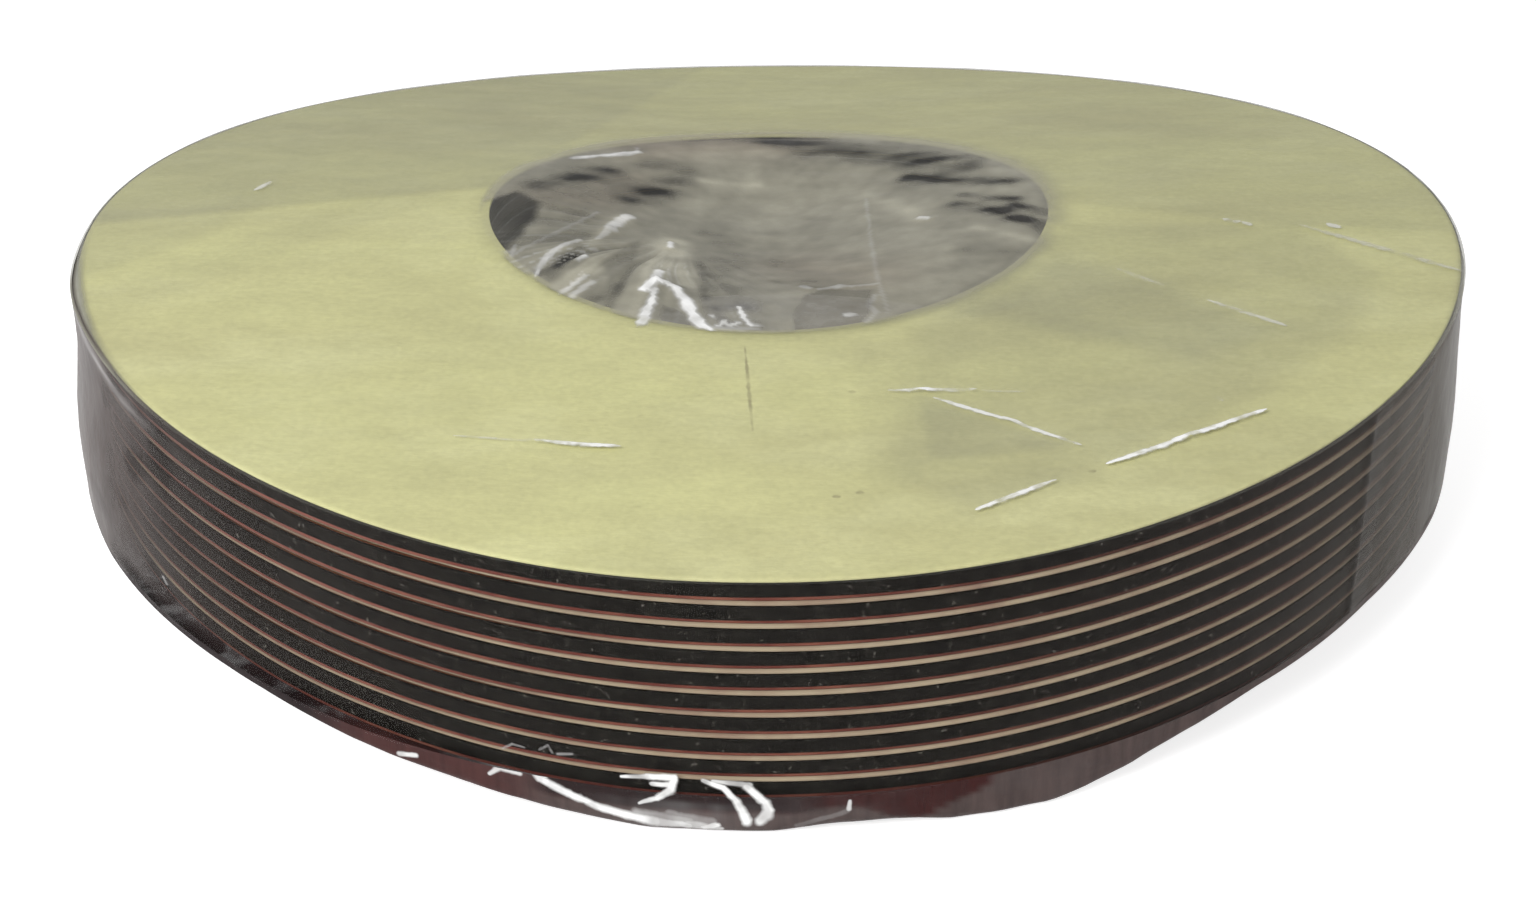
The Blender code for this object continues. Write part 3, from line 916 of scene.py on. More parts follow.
stack_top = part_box("film_sleeve")[1].z
card_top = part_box(f"card_{TOP_ROLL}")[1].z
angle, degrees = ring_angles(SIDE_STEPS)
share = np.linspace(0, 1, SIDE_ROWS)[None, :]
height = card_top + (stack_base + SIDE_FOOT - card_top) * share
around, up = np.broadcast_arrays(FILM_RADIUS * angle, height)
wave = ripple(around, up, scale=130.0, seed=2.2) + 0.5 * ripple(around, up, scale=420.0, seed=4.4)
seamless = rising(180 - np.abs(degrees), start=0, spread=6)
radius = FILM_RADIUS + wave * SIDE_WAVE * seamless
radius = radius + rim_lift(degrees) * falling(share, start=0, spread=0.35)
radius = radius - SIDE_TURNED_IN * falling(share, start=0, spread=0.04)
radius = radius + by_angle(STAND_OFF_LOW, degrees) * MM * rising(share, start=0, spread=0.8)
side_film = grid_piece("side_film", sunk(*round_axis(radius, angle), height), sharp_degrees=180)
side_film.data.materials.append(
    film_material(
        "side film", side_veil, side_folds(SIDE_FOLDS + RIM_FOLDS), UPRIGHT_AXES,
        streaks=((1.0, 1.0, 0.4), 0.2), gloss=(0.003, 0.12, 8.0), crisp=True,
    )
)
x, y, z = piece_points(side_film)
degrees = round_from_right(x, y)
drop = stack_top - droop(x, y) - z
patchy = ripple(np.radians(degrees), z * 12, scale=6.0, seed=6.6)
touching = rising(ripple(np.radians(degrees) * 1.6, z * 22, scale=9.0, seed=1.4), start=0.05, spread=0.3)
# Haze by angle: cloudy film where it stands off, and painted sheen towards the left and the right
haze = by_angle(SIDE_HAZE_AND_SHEEN, degrees)
half_clear = 4 * haze * (1 - haze) * at_left(degrees, start=-95, spread=20)
haze = haze * (1 + half_clear * (0.3 * patchy - 0.35 * touching))
front_left = rising(degrees, start=-152, spread=10) * falling(degrees, start=-112, spread=8)
at_foot = rising(drop / (stack_top - stack_base), start=0.86, spread=0.08)
haze = haze * (1 - 0.85 * front_left * at_foot)
# The painted highlight streak under the left rim
streak_away = (degrees - RIM_STREAK_ANGLE) / RIM_STREAK_SPREAD
streak_drop = RIM_STREAK_DROP * (1 + 0.5 * streak_away)
rim_highlight_streak = bell(drop - streak_drop, RIM_STREAK_WIDTH) * bell(streak_away, 1)
store(side_film, "haze", haze + 0.35 * rim_highlight_streak)
store(side_film, "glint", 0.25 * rim_highlight_streak)
store(side_film, "front", rising(-y, 0, 20 * MM))
store(side_film, "pale", rising(degrees, start=-60, spread=30) * falling(degrees, start=20, spread=30))
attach(side_film, "pack_base")
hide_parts("film_sleeve")

# Film seam
# Where the two ends of the side film overlap they are sealed in an upright strip at the right of the front.
# The doubled film is a little thicker and duller, with a raised line along its edge.
SEAM_WIDTH = 4.0 * MM
SEAM_COLUMNS = 49
SEAM_ROWS = 60
SEAM_STAND_OFF = 0.25 * MM
SEAM_LIP = 0.22 * MM
SEAM_LIP_WIDTH = 0.35 * MM
SEAM_WANDER = 0.15 * MM
SEAM_BELOW_TOP = 0.2 * MM
SEAM_FOOT = 0.6 * MM
SEAM_HAZE = 0.03
# Where the dark line and the pale line along the seam's edge lie, and their half widths; the pale line is a
# painted highlight
SEAM_DARK, SEAM_DARK_WIDTH = 0.15 * MM, 0.3 * MM
SEAM_PALE, SEAM_PALE_WIDTH = 0.75 * MM, 0.25 * MM
SEAM_LINE = (0.030, 0.027, 0.024)
SEAM_FOLDS = (((66.0, 30.0), (65.4, 22.0), 0.2, 0.2, 0.2),)


def seam_veil(tree):
    """The dark line of the seam's edge."""
    return mix_colour(tree, grain(tree, scale=300, low=0.4, high=0.6), SEAM_LINE, SIDE_WARM_VEIL)


seam_low, seam_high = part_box("film_seam")
seam_middle = (seam_low + seam_high) / 2
seam_angle = math.atan2(seam_middle.y, seam_middle.x)
across = np.linspace(0, SEAM_WIDTH, SEAM_COLUMNS)[:, None]
share = np.linspace(0, 1, SEAM_ROWS)[None, :]
height = stack_top - SEAM_BELOW_TOP + (stack_base + SEAM_FOOT - stack_top) * share
wander = ripple(share * 3.0, share * 0.0, scale=1.0, seed=9.1) * SEAM_WANDER
angle = seam_angle + (across + wander) / FILM_RADIUS
radius = FILM_RADIUS + SEAM_STAND_OFF + SEAM_LIP * bell(across, SEAM_LIP_WIDTH)
points = sunk(*round_axis(radius, angle), height)
seam_film = grid_piece("seam_film", points, round_closed=False, sharp_degrees=180)
seam_film.data.materials.append(
    film_material(
        "seam film", seam_veil, side_folds(SEAM_FOLDS), UPRIGHT_AXES,
        streaks=((1.0, 1.0, 0.4), 0.2), gloss=(0.003, 0.03, 3.2),
    )
)
x, y, z = piece_points(seam_film)
from_lip = (np.arctan2(y, x) - seam_angle) * FILM_RADIUS
store(seam_film, "haze", SEAM_HAZE + 0.9 * bell(from_lip - SEAM_DARK, SEAM_DARK_WIDTH))
# The pale line along the seam's edge is a painted highlight
store(seam_film, "glint", 0.16 * bell(from_lip - SEAM_PALE, SEAM_PALE_WIDTH))
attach(seam_film, "pack_base")
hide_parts("film_seam")

# Top film
# One sheet of the film lies over the top card and sags into the bore, where it is pulled into pleats.
# Away from the card it looks grey with haze and painted reflection, in patches with straight borders, and its
# sharp folds carry painted white highlights.
TOP_STEPS = 512
TOP_MOUTH_LOOPS = 96
TOP_FLAT_LOOPS = 64
TOP_FLAT_START = 40 * MM
TOP_FLAT_INSET = 0.6 * MM
# Where the loops of the rolled-over rim lie, out from the film's radius
TOP_RIM_LOOPS = np.array([-0.4, -0.2, -0.05, 0.05]) * MM
TOP_RIM_INSET = 0.7 * MM
TOP_RIM_DROP = 0.45 * MM
TOP_GAP = 0.25 * MM
TOP_RIPPLE = 0.10 * MM
TOP_HAZE = 0.07
LIFT_REACH = 1.2 * MM
MOUTH_RADIUS = 37.5 * MM
MOUTH_BORDER = 1.8 * MM
MOUTH_DIP = 5.5 * MM
MOUTH_HAZE_AND_SHEEN = 0.66
MOUTH_LEAST_HAZE = 0.03
CREASE_HIGHLIGHT = 0.5
CRUMPLE_DEPTH = 0.5 * MM
CRUMPLE_WARP = 6 * MM
PLEAT_DEPTH = 0.45 * MM
# The fan of pleats: its root, the angle of its middle, and how far round it spreads, in degrees
PLEAT_ROOT = (-12 * MM, -3 * MM)
PLEAT_FRONT = -122.0
PLEAT_SPREAD = 42.0
FOLD_HEIGHT = 0.28 * MM
FOLD_REACH = 0.8
GLINT_HEIGHT = 0.5 * MM
GLINT_REACH = 1.5
TOP_VEIL = (0.34, 0.335, 0.27)
MOUTH_VEIL = (0.44, 0.42, 0.33)
TAN_VEIL = (0.40, 0.35, 0.265)
RIM_SHADE = (0.070, 0.052, 0.040)
# Folds on the flat, with painted highlights: millimetres right of and behind the bore's axis, then widths at
# both ends and whiteness
TOP_FOLDS = (
    ((-35, -64), (-25, -65), 0.3, 0.4, 0.45), ((-26, -65), (-16.5, -66), 0.55, 0.75, 0.95),
    ((13.5, -54), (17.5, -54.2), 0.5, 0.6, 0.8), ((17, -54.2), (23.5, -54.6), 0.75, 0.65, 1.0),
    ((23.5, -54.6), (29.5, -55.2), 0.35, 0.35, 0.4), ((18.6, -56), (27, -61.8), 0.55, 0.6, 0.85),
    ((26.5, -61.4), (33.8, -67.3), 0.6, 0.5, 0.85), ((36, -71.4), (46, -66.2), 0.6, 0.7, 1.0),
    ((45, -66.7), (55.2, -61.2), 0.7, 0.6, 1.0), ((21.3, -79.5), (30.2, -74.2), 0.6, 0.6, 0.95),
    ((44, -25), (49, -30), 0.7, 0.7, 0.4), ((53.6, -34.4), (61.7, -41.7), 0.7, 0.7, 0.6),
    ((70, -12), (86.5, -27.6), 0.9, 1.0, 0.5), ((60.4, -9.8), (62.2, -11.1), 1.1, 1.1, 0.9),
    ((62.6, -11.2), (63.6, -12.0), 1.0, 1.0, 0.8), ((73.6, -11.8), (74.9, -13.2), 1.1, 1.1, 0.7),
    ((50.3, -58), (50.8, -58.9), 0.6, 0.6, 0.5), ((-71.5, 5), (-70, 8.5), 0.8, 0.8, 0.7),
)
# Patches where the film stands off the card, grey with haze and painted reflection: corners, how grey, and
# how soft their straight borders are
STAND_OFF_SHEEN = (
    (((-92, -8), (-38, 6), (-10, 92), (-92, 92)), 0.2, 3.0),
    (((-38, 6), (40, -10), (70, -13), (92, -21), (92, 92), (-10, 92)), 0.12, 3.5),
    (
        (
            (13.5, -72), (21, -80), (36, -72), (54, -58), (68, -45), (76, -28), (70, -12), (40, -10),
            (17, -40),
        ),
        0.12, 5.0,
    ),
    (((24, -35), (37, -21), (50, -30), (61, -42), (50, -49), (37, -42.5)), 0.14, 5.5),
    (((17, -55), (33, -67), (28, -68), (17, -69)), 0.13, 2.0),
    (((10, -42), (16, -42), (16, -74), (10.5, -74)), 0.06, 3.0),
    (((-92, -30), (-87, -27), (-75, -14), (-70, -2), (-92, -2)), 0.08, 4.0),
    (((-80, -37), (-44, 2), (-52, 5), (-86, -32)), 0.05, 4.0),
)
# Runs in the mouth where the film is clearer, so the dark bore shows, and runs where it is cloudier, some of
# them painted sheen on its folds: places, half width, and the change of haze
MOUTH_SHADES = (
    (((-32.1, 7.5), (-29.6, 10), (-26, 13.4), (-23.5, 17.1)), 2.2, -0.5),
    (((-19.1, 8.2), (-17.6, 10.8), (-16, 12.3), (-13.3, 15.5)), 2.6, -0.5),
    (((-18.5, 21), (-15.5, 22.5), (-12, 21.5)), 2.2, -0.35),
    (((-1.6, 35.5), (5.5, 31.5), (13.5, 27.5), (20.7, 22.5), (28, 17)), 3.6, -0.6),
    (((20.3, 14.5), (27.6, 9.5), (33.9, 6.9)), 1.5, -0.7),
    (((27.1, 3.7), (30.1, 1.2), (33.7, -0.5)), 1.2, -0.5),
    (((26, 0.3), (29.7, -3), (33, -6.8)), 1.5, -0.65),
    (((31.6, -5.2), (34.3, -8.8), (37, -12.3)), 1.5, -0.65), (((33.4, -2.7), (36.7, -6.5)), 1.2, -0.55),
    (((26.3, -17.6), (30.6, -20.1), (32.4, -21.1)), 2.6, -0.25),
    (((-7.2, 0), (-6.6, -15), (-5.6, -27), (-3, -36)), 3.6, -0.15), (((-5, -24), (4, -22)), 6.0, -0.08),
    (((-9.2, -14), (-8.5, -22), (-7.6, -31), (-5.2, -37)), 0.8, -0.22),
    (((-28, -25.3), (-26.1, -19), (-24.4, -14.3)), 1.0, -0.35), (((-22.8, -33), (-19, -27)), 1.2, -0.3),
    (((-26.4, -29.5), (-24.5, -26), (-22, -21.3)), 1.4, 0.3), (((-25, -30.5), (-21, -24.4)), 0.8, 0.25),
    (((-13, -6.7), (-13.5, -15.3), (-14.4, -22.4)), 2.0, 0.5), (((-24, -13.4), (-19.6, -0.2)), 1.2, 0.3),
    (((14, 11), (18, 3.6), (21.3, -3.1)), 1.6, 0.22), (((29.6, -4.5), (37, -8.3)), 0.6, 0.2),
    (((27.5, -9.6), (36.8, -17.9)), 1.1, 0.22), (((-9.5, 18.1), (-1.5, 18.1)), 0.8, 0.18),
    (((-18.7, 22.5), (-9.7, 29.5), (0, 30)), 4.5, 0.2), (((-4, -4), (0, -12), (4, -20)), 6.0, -0.1),
    (((-11.5, -8), (-11, -20), (-10, -26)), 1.3, 0.2), (((-6, -32), (2, -33), (6, -32)), 3.5, -0.15),
    (((8, 8), (16, 10), (22, 12)), 4.0, -0.09), (((-6, 12), (8, 12)), 6.0, 0.07),
    (((-12, 33), (-4, 35), (4, 35)), 3.5, -0.22), (((-27, -10), (-22, -18)), 6.0, -0.08),
)
# Patches of the mouth with clear borders: corners, the borders' softness, the haze there and its hold
MOUTH_PATCHES = (
    (
        (
            (-35.1, 4), (-31.4, 0.2), (-31.5, -5.1), (-32.6, -11.3), (-33.6, -15.6), (-35, -21), (-38, -17),
            (-40, -8), (-39, -1),
        ),
        1.7, 0.1, 1.0,
    ),
    (
        ((4.2, -27.6), (6.7, -25.9), (13, -27.3), (12.5, -34.6), (10.8, -39), (3, -39), (2.8, -36)), 0.8,
        0.36, 0.8,
    ),
    (((-13, -32.4), (-10.5, -34.4), (-8.3, -39), (-12.3, -39), (-13.4, -35)), 0.9, 0.3, 0.9),
    (((-21.2, -20.3), (-19, -11.7), (-17.2, -7.4), (-17.6, -18.9), (-20.1, -26.7)), 1.2, 0.42, 0.8),
)
# Painted glints in the mouth: places, half width and whiteness
MOUTH_GLINTS = (
    (((-28.3, 21.1), (-19.4, 25.5)), 0.9, 0.85), (((-19.4, 25.5), (-19.6, 28)), 0.4, 0.6),
    (((-29.6, -24.8), (-29.2, -21.7), (-28.1, -17.6), (-26.7, -14.5), (-25, -12.6)), 0.5, 0.75),
    (((-22.7, -10.5), (-21.4, -6)), 0.5, 0.5), (((-21.4, -6), (-20.4, -1.9), (-19.4, -0.1)), 0.95, 0.75),
    (((-26.1, -29.5), (-24.8, -27.3), (-23.2, -24.2)), 0.45, 0.5),
    (((-24.8, -30.3), (-23.4, -27.8), (-22.2, -25.9)), 0.5, 0.55),
    (((-24.6, -19.6), (-23.9, -18.4)), 0.6, 0.85), (((-36.1, -13.5), (-26.7, -10.8)), 0.3, 0.25),
    (((-33.3, -19.2), (-27, -8), (-23.4, -0.4)), 0.35, 0.3), (((-33.3, -19), (-33.1, -15.6)), 0.35, 0.5),
    (((-15.6, -27.8), (-15.2, -26.8), (-14.3, -25.5)), 0.75, 1.0),
    (((-14.6, -24.6), (-14.1, -21.2)), 0.75, 0.95),
    (((-14.3, -25.7), (-13, -25.8), (-11.7, -27.7)), 0.7, 1.0),
    (((-11.7, -27.7), (-10.3, -31.6)), 0.9, 1.0), (((-10.3, -31.6), (-9.2, -35), (-8.1, -37.4)), 1.05, 1.0),
    (((-8.1, -37.1), (-7.2, -38.5)), 0.85, 1.0), (((-14.3, -27.8), (-14.5, -30.2)), 0.5, 0.9),
    (((-14.5, -30.2), (-15, -33.1), (-15.4, -36.6)), 0.85, 0.92),
    (((-7.1, -34.7), (-6.8, -35.4)), 0.45, 0.7), (((-6.2, -37.4), (-5.5, -36)), 0.5, 0.8),
    (((-4.8, -37.2), (-3.8, -36.5)), 0.5, 0.75), (((-3.8, -32.2), (-3.1, -35.4), (-2.3, -37.3)), 0.45, 0.9),
    (((-2.3, -37.3), (-1.2, -37.3)), 0.5, 0.7), (((-6.5, -38), (-1.5, -38.2)), 0.4, 0.45),
    (((-13.2, -9.5), (-13.2, -7.5)), 0.5, 0.8),
    (((13.8, 9.7), (13.7, -6.2), (13.8, -24.5), (14.5, -34.7)), 0.3, 0.18),
    (((4.2, -24.2), (5, -25.2)), 0.6, 0.6), (((6.4, -25.9), (8.8, -25.3)), 0.6, 0.5),
    (((8.8, -25.3), (13.6, -25.7)), 0.4, 0.35), (((9.4, -34.9), (10.2, -34.9)), 0.6, 0.8),
    (((13.1, -29.4), (12.3, -32.3), (13.1, -34.6), (11.6, -37.1)), 0.45, 0.3),
    (((20.6, -2.6), (21.6, -3.4)), 0.5, 0.7),
)
# Runs where the mouth looks tan: places, half width and share
MOUTH_TAN = (
    (((-18, 29), (-6, 33), (2, 33)), 6.0, 0.9), (((-31, 3), (-24, 5), (-20, 14)), 5.0, 0.6),
    (((4, -14), (12, -22)), 7.0, 0.6),
)
# How cloudy the film is along the mouth's rim: degrees round from the right, and share
MOUTH_RIM_CLOUD = (
    (-180, 0), (-100, 0), (-75, 0.25), (-55, 0.6), (-30, 0.6), (-15, 0.3), (0, 0.1), (25, 0.1), (45, 0.25),
    (75, 0.5), (105, 0.6), (130, 0.65), (150, 0.4), (165, 0.1), (180, 0),
)
MOUTH_RIM_REACH = 1.9 * MM
# How dark the film's outer rim is, and how much it whitens where it is rolled over, in the same way
OUTER_RIM_SHADE = (
    (-180, 0.2), (-170, 0.4), (-163, 0.9), (-150, 0.9), (-138, 0), (-30, 0), (-12, 0.3), (35, 0.3), (55, 0),
    (160, 0), (180, 0.2),
)
OUTER_RIM_PALE = (
    (-180, 0.75), (-169, 0.6), (-162, 0), (-36, 0), (-22, 0.65), (0, 0.75), (60, 0.6), (120, 0.6),
    (180, 0.75),
)


def inside(x, y, corners):
    """How deep each point lies inside straight borders, in metres."""
    corners = np.array(corners) * MM
    following = np.roll(corners, -1, axis=0)
    area = np.sum(corners[:, 0] * following[:, 1] - following[:, 0] * corners[:, 1])
    depth = np.full(np.shape(x), np.inf)
    for (ax, ay), (bx, by) in zip(corners, following):
        side = ((bx - ax) * (y - ay) - (by - ay) * (x - ax)) / math.hypot(bx - ax, by - ay)
        depth = np.minimum(depth, side * np.sign(area))
    return depth


def from_run(x, y, places):
    """Distance of each point, in metres, from straight lines through places given in millimetres."""
    least = np.full(np.shape(x), np.inf)
    for start, end in zip(places[:-1], places[1:]):
        (ax, ay), (bx, by) = np.array(start) * MM, np.array(end) * MM
        length = math.hypot(bx - ax, by - ay)
        share = np.clip(((x - ax) * (bx - ax) + (y - ay) * (by - ay)) / length**2, 0, 1)
        least = np.minimum(least, np.hypot(x - ax - share * (bx - ax), y - ay - share * (by - ay)))
    return least


def near_run(x, y, places, half_width):
    """Share from 0 to 1 that is largest on a run, and fades over its half width in millimetres."""
    return bell(from_run(x, y, places), half_width * MM)


def on_run(x, y, places, half_width):
    """Share from 0 to 1 that is full along a run, with a clear border at its half width in millimetres."""
    ragged = 0.45 * ripple(x, y, scale=420.0, seed=2.4) + 0.3 * ripple(x, y, scale=1000.0, seed=6.2)
    return falling(from_run(x, y, places) / (half_width * MM) + ragged, start=0.55, spread=0.6)


def fan_out(x, y):
    """Where each point lies in the mouth's fan: angle, nearness to its middle, distance from its root."""
    fan_x, fan_y = x - PLEAT_ROOT[0], y - PLEAT_ROOT[1]
    angle = np.arctan2(fan_y, fan_x) + 0.08 * ripple(x, y, scale=90.0, seed=5.5)
    turn = (np.degrees(angle) - PLEAT_FRONT + 180) % 360 - 180
    return angle, bell(turn, PLEAT_SPREAD), np.hypot(fan_x, fan_y)


def pleats(x, y):
    """Folds that fan out over the mouth, about -1 to 1, strongest at the front left."""
    angle, middle, out = fan_out(x, y)
    fan = ripple(*round_axis(1.0, angle), scale=9.0, seed=1.1)
    fan += 0.6 * ripple(*round_axis(1.0, angle), scale=23.0, seed=3.7)
    return fan * (0.08 + middle) * rising(out, 5 * MM, 10 * MM)


def creases(x, y):
    """Fine painted highlights that run along the pleats, 0 to 1."""
    angle, middle, out = fan_out(x, y)
    fine = rising(ripple(*round_axis(1.0, angle), scale=70.0, seed=2.2), start=0.12, spread=0.25)
    broken = smooth(0.5 + 1.2 * ripple(x, y, scale=170.0, seed=4.6))
    return fine * middle * broken * rising(out, 9 * MM, 7 * MM)


angle, degrees = ring_angles(TOP_STEPS)
mouth_run = np.linspace(0, TOP_FLAT_START, TOP_MOUTH_LOOPS)
flat_run = np.linspace(TOP_FLAT_START, FILM_RADIUS - TOP_FLAT_INSET, TOP_FLAT_LOOPS)[1:]
radius = np.concatenate([mouth_run, flat_run, FILM_RADIUS + TOP_RIM_LOOPS])[None, :]
radius = radius + rim_lift(degrees) * rising(radius, FILM_RADIUS - LIFT_REACH, LIFT_REACH)
x, y = round_axis(radius, angle)
height = card_top + TOP_GAP - droop(x, y)
height += TOP_RIPPLE * ripple(x, y, scale=70.0, seed=1.7) * rising(radius, 0, 60 * MM)
height -= TOP_RIM_DROP * rising(radius, FILM_RADIUS - TOP_RIM_INSET, 0.75 * MM)
height -= MOUTH_DIP * falling(radius, 0, MOUTH_RADIUS)
warp_x = x + CRUMPLE_WARP * ripple(x, y, scale=60.0, seed=7.7)
warp_y = y + CRUMPLE_WARP * ripple(x, y, scale=60.0, seed=9.9)
slack = falling(radius, 27 * MM, 10 * MM)
height += slack * CRUMPLE_DEPTH * ripple(warp_x, warp_y, scale=45.0, seed=6.1)
height += slack * PLEAT_DEPTH * pleats(x, y)
for start, end, _, _, whiteness in TOP_FOLDS:
    height += FOLD_HEIGHT * whiteness * near_run(x, y, (start, end), FOLD_REACH)
for places, half_width, whiteness in MOUTH_GLINTS:
    height += GLINT_HEIGHT * whiteness * slack * near_run(x, y, places, GLINT_REACH * half_width)
top_film = grid_piece("top_film", np.stack([x, y, height], axis=-1), sharp_degrees=180)
close_middle(top_film)

x, y, z = piece_points(top_film)
radius = np.hypot(x, y)
degrees = round_from_right(x, y)
flat_haze = TOP_HAZE + 0.03 * ripple(x, y, scale=40.0, seed=2.9)
flat_haze += 0.02 * ripple(x * 0.6 + y * 0.5, y * 1.3, scale=130.0, seed=3.6)
# Grey patches where the film stands off the card: haze and painted reflection
for corners, grey, softness in STAND_OFF_SHEEN:
    flat_haze += grey * smooth(inside(x, y, corners) / (softness * MM) + 0.5)
at_right = rising(x, 5 * MM, 25 * MM)
at_back = rising(y, 12 * MM, 15 * MM)
rim_softness = (0.7 + 5 * np.maximum(at_right, at_back)) * MM
mouth = 1 - smooth((radius - MOUTH_RADIUS - MOUTH_BORDER) / rim_softness + 0.5)
# Over the bore the grey is haze and painted reflection; it grows and fades along the pleats as their painted
# light and shade
haze = MOUTH_HAZE_AND_SHEEN - 0.11 * rising(-x, 8 * MM, 16 * MM) + 0.36 * pleats(x, y)
haze += 0.08 * ripple(x + 0.3 * y, y * 0.6, scale=120.0, seed=3.3)
haze += 0.10 * ripple(x, y, scale=230.0, seed=5.8) + 0.07 * ripple(x, y * 0.8, scale=600.0, seed=9.4)
broken = np.clip(0.85 + 0.8 * ripple(x * 0.35, y, scale=380.0, seed=4.1), 0.1, 1.7)
for places, half_width, change in MOUTH_SHADES:
    haze += change * broken * near_run(x, y, places, half_width)
for corners, softness, held_haze, hold in MOUTH_PATCHES:
    border = inside(x, y, corners) + 0.4 * MM * ripple(x, y, scale=300.0, seed=7.3)
    uneven_haze = held_haze + 0.1 * ripple(x, y * 0.5, scale=200.0, seed=2.6)
    haze += (uneven_haze - haze) * hold * smooth(border / (softness * MM) + 0.5)
haze = flat_haze * (1 - mouth) + np.clip(haze, MOUTH_LEAST_HAZE, 1) * mouth
rim_cloud = by_angle(MOUTH_RIM_CLOUD, degrees) * bell(radius - MOUTH_RADIUS - MM, MOUTH_RIM_REACH)
haze = np.maximum(haze, rim_cloud)
rim_shade = by_angle(OUTER_RIM_SHADE, degrees)
rim_haze = np.maximum(rim_shade, by_angle(OUTER_RIM_PALE, degrees))
rim_haze = rim_haze * rising(radius, FILM_RADIUS - TOP_RIM_INSET, 0.3 * MM)
store(top_film, "haze", np.maximum(haze, rim_haze))
store(top_film, "mouth", mouth)
from_shade = radius - FILM_RADIUS - rim_lift(degrees) + 0.35 * MM
store(top_film, "rim shade", rim_shade * bell(from_shade, 0.25 * MM))
store(top_film, "tan", mouth * sum(share * near_run(x, y, *run) for *run, share in MOUTH_TAN))
# Painted highlights over the mouth: fine creases along the pleats, and the glints
glint = CREASE_HIGHLIGHT * creases(x, y) * mouth
for places, half_width, whiteness in MOUTH_GLINTS:
    glint = np.maximum(glint, whiteness * on_run(x, y, places, half_width))
store(top_film, "glint", glint * (0.9 + 0.25 * ripple(x, y, scale=500.0, seed=8.8)))


def top_veil(tree):
    """The film's grey, its haze and painted reflection: dull on the card, paler and in places tan over the
    mouth, and dark at its rim.
    """
    layers = (("mouth", MOUTH_VEIL), ("tan", TAN_VEIL), ("rim shade", RIM_SHADE))
    return layered(tree, TOP_VEIL, *((stored(tree, name), colour) for name, colour in layers))


top_film.data.materials.append(
    film_material(
        "top film", top_veil, [(on_flat(*start), on_flat(*end), *rest) for start, end, *rest in TOP_FOLDS],
        FLAT_AXES, streaks=((0.5, 0.8, 1.0), 0.24), gloss=(0.012, 0.10, 3.2),
    )
)
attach(top_film, "film_lid")
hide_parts("film_top")

# Studio
# A plain white floor under soft light: a broad lamp above the front left, and an even glow all round.
# The open floor shows white to the camera and keeps the pack's soft shadow.
FLOOR_HALF = 30.0
FLOOR_DIFFUSE = (0.80, 0.80, 0.80, 1.0)
FLOOR_GLOW = 0.72
WORLD_GLOW = 0.34
WHITE = (1.0, 1.0, 1.0, 1.0)
LIGHT_TARGET = Vector((0.0, -0.02, 0.03))
# Lamps: place in metres, size across and watts
KEY_LIGHT = ((-0.26, -0.40, 0.38), 0.30, 2.64)
FILL_LIGHT = ((0.75, -0.35, 0.55), 0.5, 1.05)

shape = bmesh.new()
bmesh.ops.create_grid(shape, x_segments=4, y_segments=4, size=FLOOR_HALF)
floor_mesh = bpy.data.meshes.new("floor")
shape.to_mesh(floor_mesh)
shape.free()
floor = bpy.data.objects.new("floor", floor_mesh)
bpy.context.scene.collection.objects.link(floor)
floor_paint, tree, shader = new_material("floor paint")
tree.nodes.remove(shader)
plain = wire(tree, "ShaderNodeBsdfDiffuse", {"Color": FLOOR_DIFFUSE})
glow = wire(tree, "ShaderNodeEmission", {"Strength": FLOOR_GLOW})
lit = wire(tree, "ShaderNodeAddShader", {0: plain.outputs[0], 1: glow.outputs[0]})


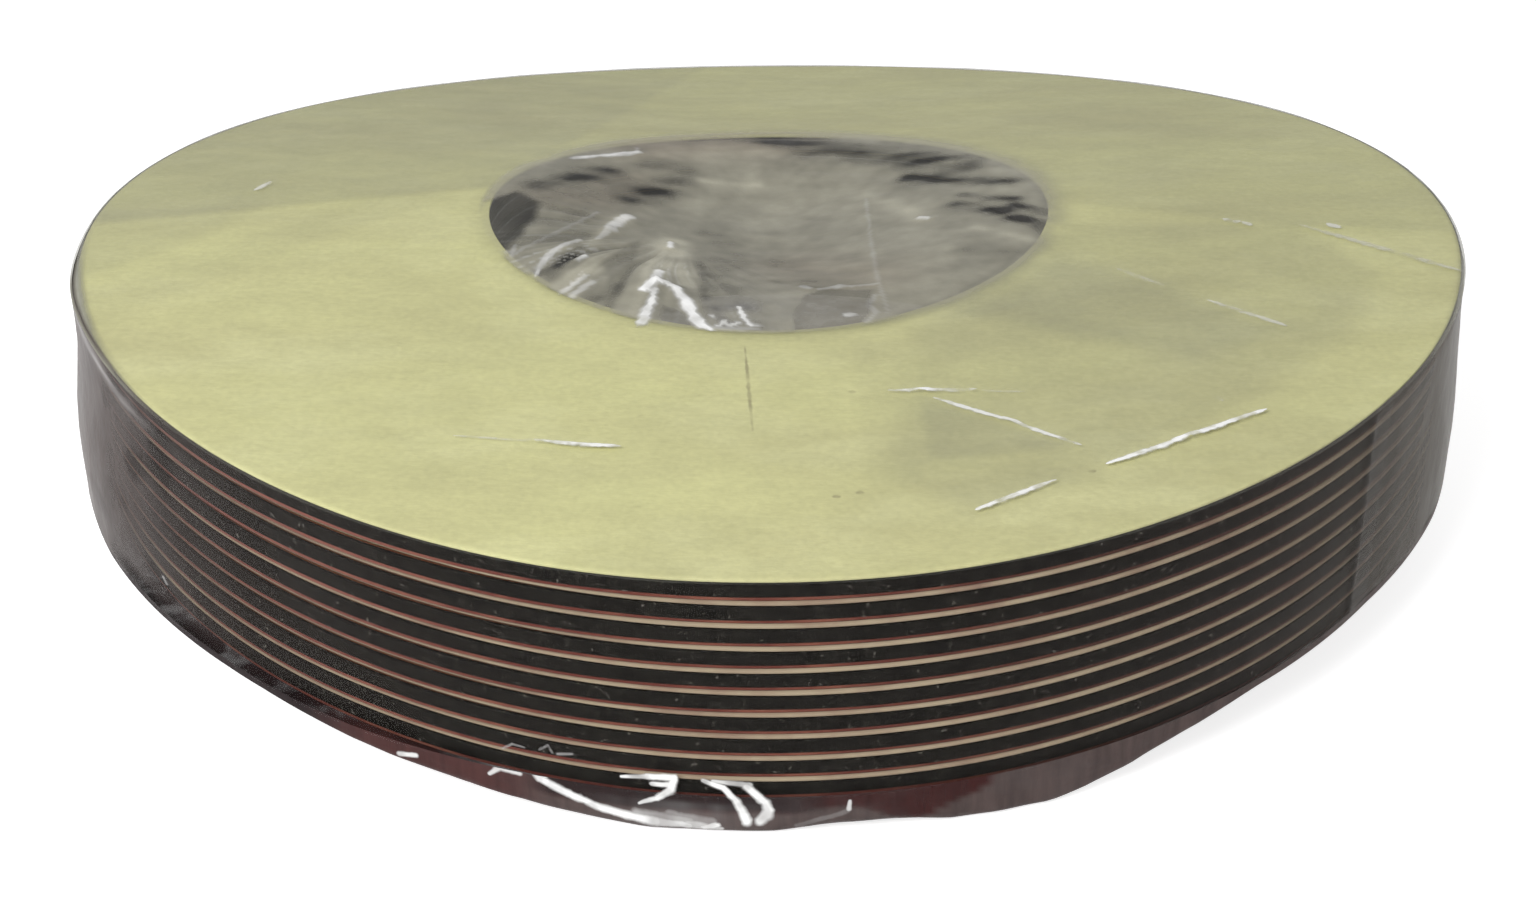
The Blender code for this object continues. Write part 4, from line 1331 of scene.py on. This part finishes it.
def seen_directly(tree):
    """1 for rays from the camera, straight or by way of a mirror or glass."""
    path = wire(tree, "ShaderNodeLightPath").outputs
    seen = math_node(tree, "MAXIMUM", path["Is Camera Ray"], path["Is Glossy Ray"])
    return math_node(tree, "MAXIMUM", seen, path["Is Transmission Ray"])


choice = wire(tree, "ShaderNodeMixShader", {0: seen_directly(tree), 1: plain.outputs[0], 2: lit.outputs[0]})
connect(tree, tree.nodes["Material Output"], {"Surface": choice.outputs[0]})
floor_mesh.materials.append(floor_paint)

world = bpy.data.worlds.new("studio")
bpy.context.scene.world = world
world.use_nodes = True
tree = world.node_tree
glow = ranged(tree, seen_directly(tree), WORLD_GLOW, 1.0)
connect(tree, tree.nodes["Background"], {"Color": WHITE, "Strength": glow})

for name, (light_place, size, watts) in (("key light", KEY_LIGHT), ("fill light", FILL_LIGHT)):
    lamp = bpy.data.lights.new(name, "AREA")
    lamp.shape = "DISK"
    lamp.size = size
    lamp.energy = watts
    light = bpy.data.objects.new(name, lamp)
    light.location = light_place
    light.rotation_mode = "QUATERNION"
    light.rotation_quaternion = (LIGHT_TARGET - light.location).to_track_quat("-Z", "Y")
    bpy.context.scene.collection.objects.link(light)

# Camera
# A hand's reach in front of the pack and above it, with a slight lean.
# It takes in the whole pack with a little room on all sides.
CAMERA_PLACE = Vector((0.0, -269.45, 134.48)) * MM
CAMERA_TARGET = Vector((-0.41, 0.0, -0.22)) * MM
CAMERA_LEAN = Quaternion((0, 0, 1), math.radians(-0.54))
CAMERA_LENS = 48.56
SENSOR_WIDTH = 36.0
CLIP_START = 0.01

lens = bpy.data.cameras.new("camera")
lens.lens = CAMERA_LENS
lens.sensor_width = SENSOR_WIDTH
lens.clip_start = CLIP_START
camera = bpy.data.objects.new("camera", lens)
camera.location = CAMERA_PLACE
camera.rotation_mode = "QUATERNION"
camera.rotation_quaternion = (CAMERA_TARGET - CAMERA_PLACE).to_track_quat("-Z", "Y") @ CAMERA_LEAN
bpy.context.scene.collection.objects.link(camera)
bpy.context.scene.camera = camera
bpy.context.scene.view_settings.view_transform = "Standard"
